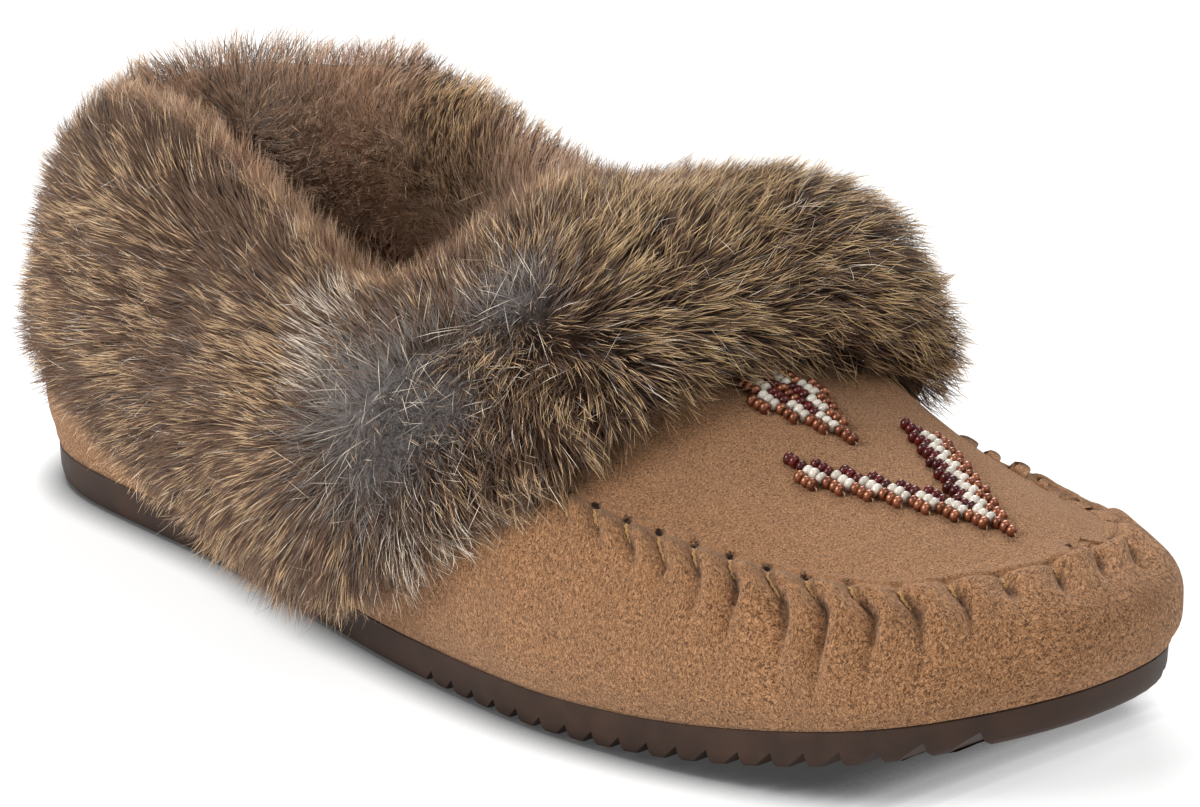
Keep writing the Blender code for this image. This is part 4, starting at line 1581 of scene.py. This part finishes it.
    def from_parting(self, points: Array) -> Array:
        """Unit direction from the nearest place on the parting.

        Args:
            points: Points of the pelt.

        Returns:
            Directions.
        """
        best = np.full(len(points), np.inf)
        near = np.zeros_like(points)
        line = np.array(self.parting)
        for start, end in zip(line[:-1], line[1:]):
            run = end - start
            share = np.clip((points - start) @ run / (run @ run), 0.0, 1.0)[:, None]
            there = start + run * share
            gap = np.linalg.norm(points - there, axis=1)
            near = np.where((gap < best)[:, None], there, near)
            best = np.minimum(gap, best)
        return unit(points - near)

    def inner(self, points: Array, facing: Array) -> Array:
        """How far each point is inside the collar: 1 inside, 0 outside and on the roll.

        Args:
            points: Points of the skin.
            facing: Cosine between the normal and the way out of the collar.

        Returns:
            Shares from 0 to 1.
        """
        top = ease(-10.0, -20.0, points[:, 1]) * ease(56.0, 66.0, points[:, 2])
        return ease(0.15, -0.35, facing) * (1 - top)

    def instep(self, points: Array, back_y: float, inner_x: float) -> Array:
        """How far each point is on the roll over the instep, less at its outer end."""
        return ease(back_y, back_y - 24.0, points[:, 1]) * ease(-44.0, inner_x, points[:, 0])

    def spots(self, points: Array, rows: Sequence[Spot]) -> Array:
        """Sum of soft round spots: exp(-(distance / reach)^2) of each."""
        return sum(np.exp(-np.sum((points - np.array(row[:3]))**2, axis=1) / row[3]**2)
                   for row in rows)

    def greyness(self, points: Array) -> Array:
        """How far each point lies in the grey wool, 0 to 1."""
        return np.clip(1.2 * self.spots(points, self.wool), 0.0, 1.0)

    def flow(self, points: Array, normals: Array) -> Array:
        """Way the hair lies, in the surface.

        Outside it grows away from the nearest place on the parting and hangs, on
        the roll it is swept back and up, inside it grows up to the crest, and the
        heel's inner side fans from its whorl.

        Args:
            points: Roots.
            normals: Skin normals there.

        Returns:
            Unit directions.
        """
        x, y, z = points.T
        away = self.away(points)
        facing = np.sum(away * normals, axis=1)
        lateral = ease(8.0, -8.0, x)
        front = ease(0.0, -22.0, y)
        droop = (0.55 * (1 - lateral) * (1 - front) + 0.3 * ease(45.0, 12.0, z)
                 + 0.4 * ease(32.0, 18.0, z) + 0.5 * front * ease(14.0, 38.0, x))
        climb = 0.75 * lateral * ease(56.0, 74.0, z) * (1 - front)
        swept = front * ease(22.0, -6.0, x) * ease(58.0, 72.0, z)
        out = self.from_parting(points) + swept[:, None] * np.array([[0.2, 0.4, 0.8]])
        out[:, 2] += climb - droop
        out -= away * (climb * 1.2)[:, None]

        up = np.array([[0.0, 0.0, 1.0]])
        fan = unit(points - np.array(self.heel_whorl)) * 0.6 + up * 0.75
        fan = fan + np.array([[0.0, -0.2, 0.0]])
        heel = (ease(44.0, 66.0, y) * ease(-14.0, 2.0, x))[:, None]
        inside = (up + away * 0.4) * (1 - heel) + fan * heel
        outer = np.maximum(ease(-0.35, 0.25, facing), front * ease(-0.5, -0.1, facing))[:, None]
        return unit(flat_on(out * outer + inside * (1 - outer), normals) + 1e-6)

    def roots(self, skin: tuple[Array, Array, Array], weight: Array,
              count: int) -> tuple[Array, Array]:
        """Roots spread over the skin by area and weight.

        Args:
            skin: Points, quads and normals.
            weight: How thick the hair grows at each point.
            count: Number of hairs.

        Returns:
            Roots and skin normals there, each blended from a quad's corners.
        """
        points, quads, normals = skin
        a, b, c, d = (points[quads[:, k]] for k in range(4))
        area = np.linalg.norm(np.cross(c - a, d - b), axis=1) / 2
        share = area * weight[quads].mean(axis=1)
        share = np.cumsum(share) / share.sum()
        face = np.clip(np.searchsorted(share, self.rng.random(count)), 0, len(quads) - 1)
        u, v = self.rng.random((2, count, 1))

        def blend(values: Array) -> Array:
            """Mix of the values at the four corners of each root's quad."""
            first, second, third, fourth = (values[quads[face, k]] for k in range(4))
            return (first * (1 - u) + second * u) * (1 - v) + (fourth * (1 - u) + third * u) * v

        return blend(points), unit(blend(normals))

    def gather(self, root: Array) -> tuple[Array, Array]:
        """Gathers hairs in clumps: the cells of a lattice bent by a random field.

        Args:
            root: Roots.

        Returns:
            Offset from each root to the mean of its clump's roots, and the
            clump's number.
        """
        bent = np.stack([self.patches.at(root + 90.0 * k, 5.0) for k in range(3)], -1)
        cell = np.floor((root + bent * 1.6) / self.clump_mm).astype(int)
        _, which = np.unique(cell @ np.array([1, 1000, 1000000]), return_inverse=True)
        total = np.stack([np.bincount(which, root[:, k]) for k in range(3)], -1)
        return (total / np.bincount(which)[:, None])[which] - root, which

    def strands(self, root: Array, normal: Array, way: Array, length: Array,
                lift: Sequence[Array], width: Array, twist: Array,
                shares: Sequence[float]) -> Array:
        """Flat tapered hairs: a path that leaves the skin steeply and lies down.

        Each step goes along cos(lift) * way + sin(lift) * normal, the lift
        falling from root to tip. Two edges run beside the path and meet at
        the tip.

        Args:
            root: Roots.
            normal: Skin normals.
            way: Unit directions in the skin.
            length: Hair lengths.
            lift: Lift at root and tip, in radians.
            width: Half the widest width of each hair.
            twist: Turn of each hair's flat side.
            shares: Rows along the hair, from 0 at the root to 1 at the tip.

        Returns:
            Points (hairs, 2 * rows - 1, 3).
        """
        path = [root]
        for before, after in zip(shares[:-1], shares[1:]):
            middle = (before + after) / 2
            angle = lift[0] + (lift[1] - lift[0]) * middle
            step = way * np.cos(angle)[:, None] + normal * np.sin(angle)[:, None]
            path.append(path[-1] + step * (length * (after - before))[:, None])
        side = np.cross(way, normal)
        side = side * np.cos(twist)[:, None] + normal * np.sin(twist)[:, None]
        rows = []
        for share, place in zip(shares[:-1], path):
            half = side * (width * (0.55 + 0.45 * math.sin(math.pi * share**0.7)))[:, None]
            rows += [place - half, place + half]
        points = np.stack(rows + [path[-1]], axis=1)
        points[..., 2] = np.maximum(points[..., 2], self.lowest)
        return points

    def kinds(self, root: Array, normal: Array, soft: bool) -> Array:
        """Kind of each hair, drawn by where it grows.

        The outer mix gives way to warm hair inside the collar, made pale as painted light against
        the shade there, with gold on the far flank and grey round the heel's whorl.

        Args:
            root: Roots.
            normal: Skin normals.
            soft: Underwool, which has no golden tips.

        Returns:
            Kind numbers.
        """
        grey = self.greyness(root)
        front = self.instep(root, -10.0, -14.0)
        inner = self.inner(root, self.facing(root, normal))
        whorl = self.spots(root, ((*self.heel_whorl, 12.0),))
        pale = self.spots(root, self.pale)
        small, large = (self.patches.at(root, size) for size in self.shade_mm)
        patch = small + 0.7 * large
        weights = np.zeros((len(root), len(Hair)))

        def weigh(kind: Hair, more: Array | float) -> None:
            """Adds to the weight of one kind."""
            weights[:, kind.value] += more

        if soft:
            weigh(Hair.DOWN, 1.0)
            weigh(Hair.BROWN, 0.35 - 0.25 * patch)
            weigh(Hair.GREY, 0.12 + 7.0 * grey + 0.25 * self.patches.at(root, 14.0))
            weigh(Hair.CREAM, 0.4 * pale)
            weigh(Hair.DUSK, 0.6 * front)
        else:
            low = ease(48.0, 20.0, root[:, 2])
            weigh(Hair.GOLD, (0.42 + 1.1 * patch - 0.3 * low) * (1 - 0.9 * front))
            weigh(Hair.BROWN, 0.62 - 0.70 * patch + 0.3 * low + 0.35 * front)
            weigh(Hair.CREAM, 0.015 + 0.05 * grey + 2.8 * pale)
            weigh(Hair.DUSK, 1.2 * front)
        weights = np.maximum(weights, 0.01) * (1 - (0.94 if soft else 0.86) * inner)[:, None]
        flank = np.clip(1.3 * self.spots(root, self.gold_flank), 0.0, 1.0)
        # Warm hair inside the collar, paler as painted light against the shade there.
        weigh(Hair.WARM, 1.3 * inner * (1 - flank))
        if not soft:
            weigh(Hair.GOLD, 0.5 * inner * np.clip(0.3 + 1.6 * patch, 0.0, 1.0))
            weigh(Hair.BROWN, 0.1 * inner * np.clip(0.3 - 1.6 * patch, 0.0, 1.0))
        weigh(Hair.GOLD, (0.6 if soft else 2.2) * inner * flank)
        weigh(Hair.GREY, (1.6 if soft else 1.2) * whorl)
        total = np.cumsum(weights, axis=1)
        draw = self.rng.random(len(root)) * total[:, -1]
        return np.sum(total < draw[:, None], axis=1)

    def tones(self, kind: Array, behind: Array, tones: int) -> Array:
        """Column of the tone map for each hair, drawn among its kind's tones.

        Grey hair keeps to the middle tones. Warm hair keeps a little over them behind the line,
        as painted light in the shade deep inside the heel, and a little under them before it, as
        painted shade where the key lamp lights it.

        Args:
            kind: Kind numbers.
            behind: Which hairs grow behind that line.
            tones: Tones of each kind.

        Returns:
            Column numbers.
        """
        warm = kind == Hair.WARM.value
        tone = self.rng.integers(0, tones, len(kind))
        # Painted light and shade: warm tones go up in the shade behind the line and down in the
        # key light before it.
        middle = tones // 2 - tone % 2 + np.where(behind, 2, -1) * warm
        return kind * tones + np.where(warm | (kind == Hair.GREY.value), middle, tone)

    def place(self, coat: Coat, points: Array, kind: Array, finish: FurFinish,
              material: bpy.types.Material) -> None:
        """Puts hairs in pieces of a fair size, mapped by kind, tone and length.

        Args:
            coat: Growth that the hairs belong to.
            points: Points (hairs, corners, 3).
            kind: Kind of each hair.
            finish: Hair finish, which fixes the map.
            material: Its material.
        """
        rows = len(coat.rows) - 1
        corners = 2 * rows + 1
        slots = len(finish.bands) * finish.tones
        tone = self.tones(kind, points[:, 0, 1] > self.shade_line_y, finish.tones)
        across = np.array([0.25, 0.75] * rows + [0.5])
        along = np.array([share for share in coat.rows[:-1] for _ in (0, 1)] + [1.0])
        places = np.stack([(tone[:, None] + across) / slots,
                           np.broadcast_to(along * 0.98 + 0.01, (len(kind), corners))], -1)
        strip = np.array([[2 * k, 2 * k + 1, 2 * k + 3, 2 * k + 2] for k in range(rows - 1)])
        tip = np.array([[corners - 3, corners - 2, corners - 1]])
        size = self.piece_triangles // (2 * rows - 1)
        for number, start in enumerate(range(0, len(points), size)):
            part = points[start:start + size]
            base = (np.arange(len(part)) * corners)[:, None, None]
            piece = make_piece(f"fur_{coat.name}_{number + 1}", part.reshape(-1, 3),
                               [(strip[None] + base).reshape(-1, 4),
                                (tip[None] + base).reshape(-1, 3)], material)
            give_map(piece, "OFBake", places[start:start + size].reshape(-1, 2))
            settle(piece, "fur")
        log.info("%s hairs: %d", coat.name, len(points))

    def dress_skin(self) -> tuple[tuple[Array, Array, Array], Array, Array]:
        """Builds the skin, sunk under the pelt's outer form.

        No hair grows where it lies close against the suede, and it grows thicker
        along the crest.

        Returns:
            The skin's points, quads and normals, how thick the hair grows at each
            point, and how grey it is there.
        """
        outer, quads, normals = self.form()
        gap, toward = self.nearest(outer)
        woolly = self.greyness(outer)
        sink = self.sink * (1 - self.wool_thinner * woolly)
        points = outer - normals * np.minimum(np.maximum(gap * 0.5, 0.3), sink)[:, None]
        hidden = (gap < self.bare_gap) & (np.sum(toward * normals, axis=1) > self.bare_facing)
        facing = self.facing(points, normals)
        crest = np.exp(-((facing + 0.1) / 0.35)**2) * ease(50.0, 60.0, points[:, 2])
        inner = self.inner(points, facing)
        front = self.instep(points, -12.0, -16.0)
        base = make_piece("fur_skin", points, [quads], SkinFinish().material())
        # Paler inside the collar: partly painted light against the shade there.
        give_marks(base, pale=0.5 - 0.5 * front * (1 - inner) + 0.5 * inner, wool=woolly)
        settle(base, "fur", "fur_cuff")
        weight = np.where(hidden, 0.0, 1.0) * (1 + self.crest_thicker * crest)
        return (points, quads, normals), weight, woolly

    def build(self) -> None:
        """Builds the skin and the hair in pieces."""
        skin, weight, woolly = self.dress_skin()
        finish = FurFinish()
        material = finish.material()
        for coat in self.coats:
            bias = weight * (coat.bare + coat.woolly * woolly)
            root, normal = self.roots(skin, bias, coat.count)
            points, kind = self.grow(coat, root, normal)
            self.place(coat, points, kind, finish, material)

    def grow(self, coat: Coat, root: Array, normal: Array) -> tuple[Array, Array]:
        """Grows the hairs of one coat.

        Each hair goes with the flow, pulled to the middle of its clump and turned
        with it, stirred and drifting by patch, and shaken one by one.

        Args:
            coat: How they grow.
            root: Roots.
            normal: Skin normals there.

        Returns:
            Points (hairs, corners, 3) and kind numbers.
        """
        rng, winds, count = self.rng, self.winds, coat.count
        wool = self.greyness(root)
        roll = ease(2.0, -24.0, root[:, 1])
        length = (coat.shortest + coat.spread * rng.random(count)) * (
            1 + 0.12 * self.patches.at(root, 4.0) + 0.12 * roll)
        if coat.name == "down":
            length = length * (1 - self.wool_shorter * wool)
        offset, clump = self.gather(root)
        pull = flat_on(offset, normal) * (coat.hold * (1 - 0.7 * wool) / length)[:, None]
        own = rng.normal(0.0, 1.0, (clump.max() + 1, 4))[clump]
        turned = own[:, :3] * (self.turn[0] + self.turn[1] * roll)[:, None] * coat.hold
        stirred = np.stack([wind.at(root, self.stir_mm) for wind in winds], -1) * coat.stir
        drift = np.stack([wind.at(root + 50.0, self.drift_mm) for wind in winds], -1)
        drift = drift * (self.drift[0] + self.drift[1] * roll)[:, None]
        loose = rng.normal(0.0, 1.0, (count, 3)) * (coat.shake + 0.25 * wool)[:, None]
        way = self.flow(root, normal) + pull + turned + stirred + drift + loose
        way = unit(flat_on(way, normal))
        side = 0.14 * (1 - roll) * (coat.name == "guard")
        lift = [at + side + 0.14 * rng.normal(size=count) + 0.16 * coat.hold * own[:, 3]
                for at in coat.lifts]
        kind = self.kinds(root, normal, coat.name == "down")
        bold = (kind == Hair.GOLD.value) | (kind == Hair.DUSK.value)
        width = coat.half_width * (0.8 + 0.4 * rng.random(count)) * (1 - self.wool_finer * wool)
        width = width * np.where(bold, self.bolder, 1.0)
        if coat.name == "stray":
            kind = np.full(count, Hair.CREAM.value)
        twist = rng.normal(0.0, self.twist, count)
        return self.strands(root, normal, way, length, lift, width, twist, coat.rows), kind


# ---------------------------------------------------------------- underfoot
@dataclass
class Underfoot:
    """Outsole and footbed: the frame's own forms with smooth sides."""

    sharp: float = math.radians(28.0)

    def build(self) -> None:
        """Builds both pieces."""
        self.smooth("outsole", "rubber_sole", "rubber", RubberFinish().material())
        self.smooth("insole", "pile_footbed", "footbed", PileFinish().material())

    def smooth(self, node: str, name: str, slot: str, material: bpy.types.Material) -> None:
        """Copy of a node with merged corners, smooth but for its sharp edges.

        Args:
            node: CAD node.
            name: Name of the piece.
            slot: Material slot of the record.
            material: Its material.
        """
        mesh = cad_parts[node].data.copy()
        mesh.name = name
        with editing(mesh) as work:
            bmesh.ops.remove_doubles(work, verts=work.verts, dist=0.01 * MM)
            bmesh.ops.recalc_face_normals(work, faces=work.faces)
            for face in work.faces:
                face.smooth = True
            for edge in work.edges:
                edge.smooth = edge.calc_face_angle(0.0) < self.sharp
        mesh.materials.clear()
        mesh.materials.append(material)
        settle(link_new(name, mesh), slot, node)


# ------------------------------------------------------------------- studio
@dataclass
class Studio:
    """Camera, floor and soft light.

    The camera's angles are degrees round the slipper from the toe, up and about
    the view. Places of the lamps and the box edge are metres, powers watts.
    """

    azimuth: float = -42.2
    elevation: float = 17.8
    roll: float = -0.6
    distance: float = 911.6
    target_z: float = 39.1
    lens_mm: float = 155.49
    sensor_mm: float = 36.0
    shift: tuple[float, float] = (0.03625, -0.0129167)
    floor_edge: float = 8000.0
    floor_drop: float = 0.2
    sky: Colour = (1.0, 0.99, 0.98)
    sky_strength: float = 0.36
    softbox: float = 0.8
    aim: Point = (0.0, 0.0, 0.04)
    lamps: tuple[tuple[str, Point, float], ...] = (
        ("key", (-1.24, 0.18, 1.0), 21.0), ("back", (0.9, 0.9, 1.2), 25.0),
        ("fill", (0.3, -1.1, 1.3), 6.0))

    def camera(self) -> None:
        """Camera that looks at the slipper from the toe's outer side."""
        azimuth, elevation, roll = (math.radians(v) for v in
                                    (self.azimuth, self.elevation, self.roll))
        back = Vector((math.sin(azimuth) * math.cos(elevation),
                       -math.cos(azimuth) * math.cos(elevation), math.sin(elevation)))
        side = (-back).cross(Vector((0.0, 0.0, 1.0))).normalized()
        up = side.cross(-back)
        right = side * math.cos(roll) + up * math.sin(roll)
        top = -side * math.sin(roll) + up * math.cos(roll)
        place = (Vector((0.0, 0.0, self.target_z)) + back * self.distance) * MM
        data = bpy.data.cameras.new("camera")
        data.sensor_width = self.sensor_mm
        data.lens = self.lens_mm
        data.shift_x, data.shift_y = self.shift
        data.clip_start = 0.01
        camera = link_new("camera", data)
        camera.matrix_world = Matrix(((right.x, top.x, back.x, place.x),
                                      (right.y, top.y, back.y, place.y),
                                      (right.z, top.z, back.z, place.z), (0, 0, 0, 1)))
        bpy.context.scene.camera = camera

    def light(self, name: str, place: Vector, power: float) -> None:
        """Square softbox that faces the slipper.

        Args:
            name: Its name.
            place: Its middle, in metres.
            power: Watts.
        """
        data = bpy.data.lights.new(name, 'AREA')
        data.size = self.softbox
        data.energy = power
        lamp = link_new(name, data)
        lamp.location = place
        lamp.rotation_euler = (place - Vector(self.aim)).to_track_quat('Z', 'Y').to_euler()

    def floor(self) -> None:
        """Square of paper under the sole."""
        far = self.floor_edge / 2
        square = np.array([[-far, -far, 0], [far, -far, 0], [far, far, 0], [-far, far, 0]])
        floor = make_piece("floor", square, [np.array([[0, 1, 2, 3]])],
                           FloorFinish().material(), smooth=False)
        floor.location.z = -self.floor_drop * MM

    def build(self) -> None:
        """Sets camera, floor, sky and softboxes."""
        self.camera()
        self.floor()
        scene = bpy.context.scene
        scene.view_settings.view_transform = 'Standard'
        scene.world = bpy.data.worlds.new("studio")
        scene.world.use_nodes = True
        sky = scene.world.node_tree.nodes["Background"]
        sky.inputs["Color"].default_value = (*self.sky, 1.0)
        sky.inputs["Strength"].default_value = self.sky_strength
        for name, place, power in self.lamps:
            self.light(name, Vector(place), power)


def corners(box: Sequence[Vector]) -> list[list[float]]:
    """Box corners as plain lists of numbers."""
    return [[float(value) for value in corner] for corner in box]


def main() -> None:
    """Builds the slipper's looks in order."""
    logging.basicConfig(level=logging.INFO, format="%(name)s %(message)s")
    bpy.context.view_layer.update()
    Studio().build()
    last = Last()
    upper = Upper(last)
    upper.build()
    Stitching(upper).build()
    Beadwork(upper).build()
    FurCuff(upper.skin).build()
    Underfoot().build()


if __name__ == "__main__":
    main()
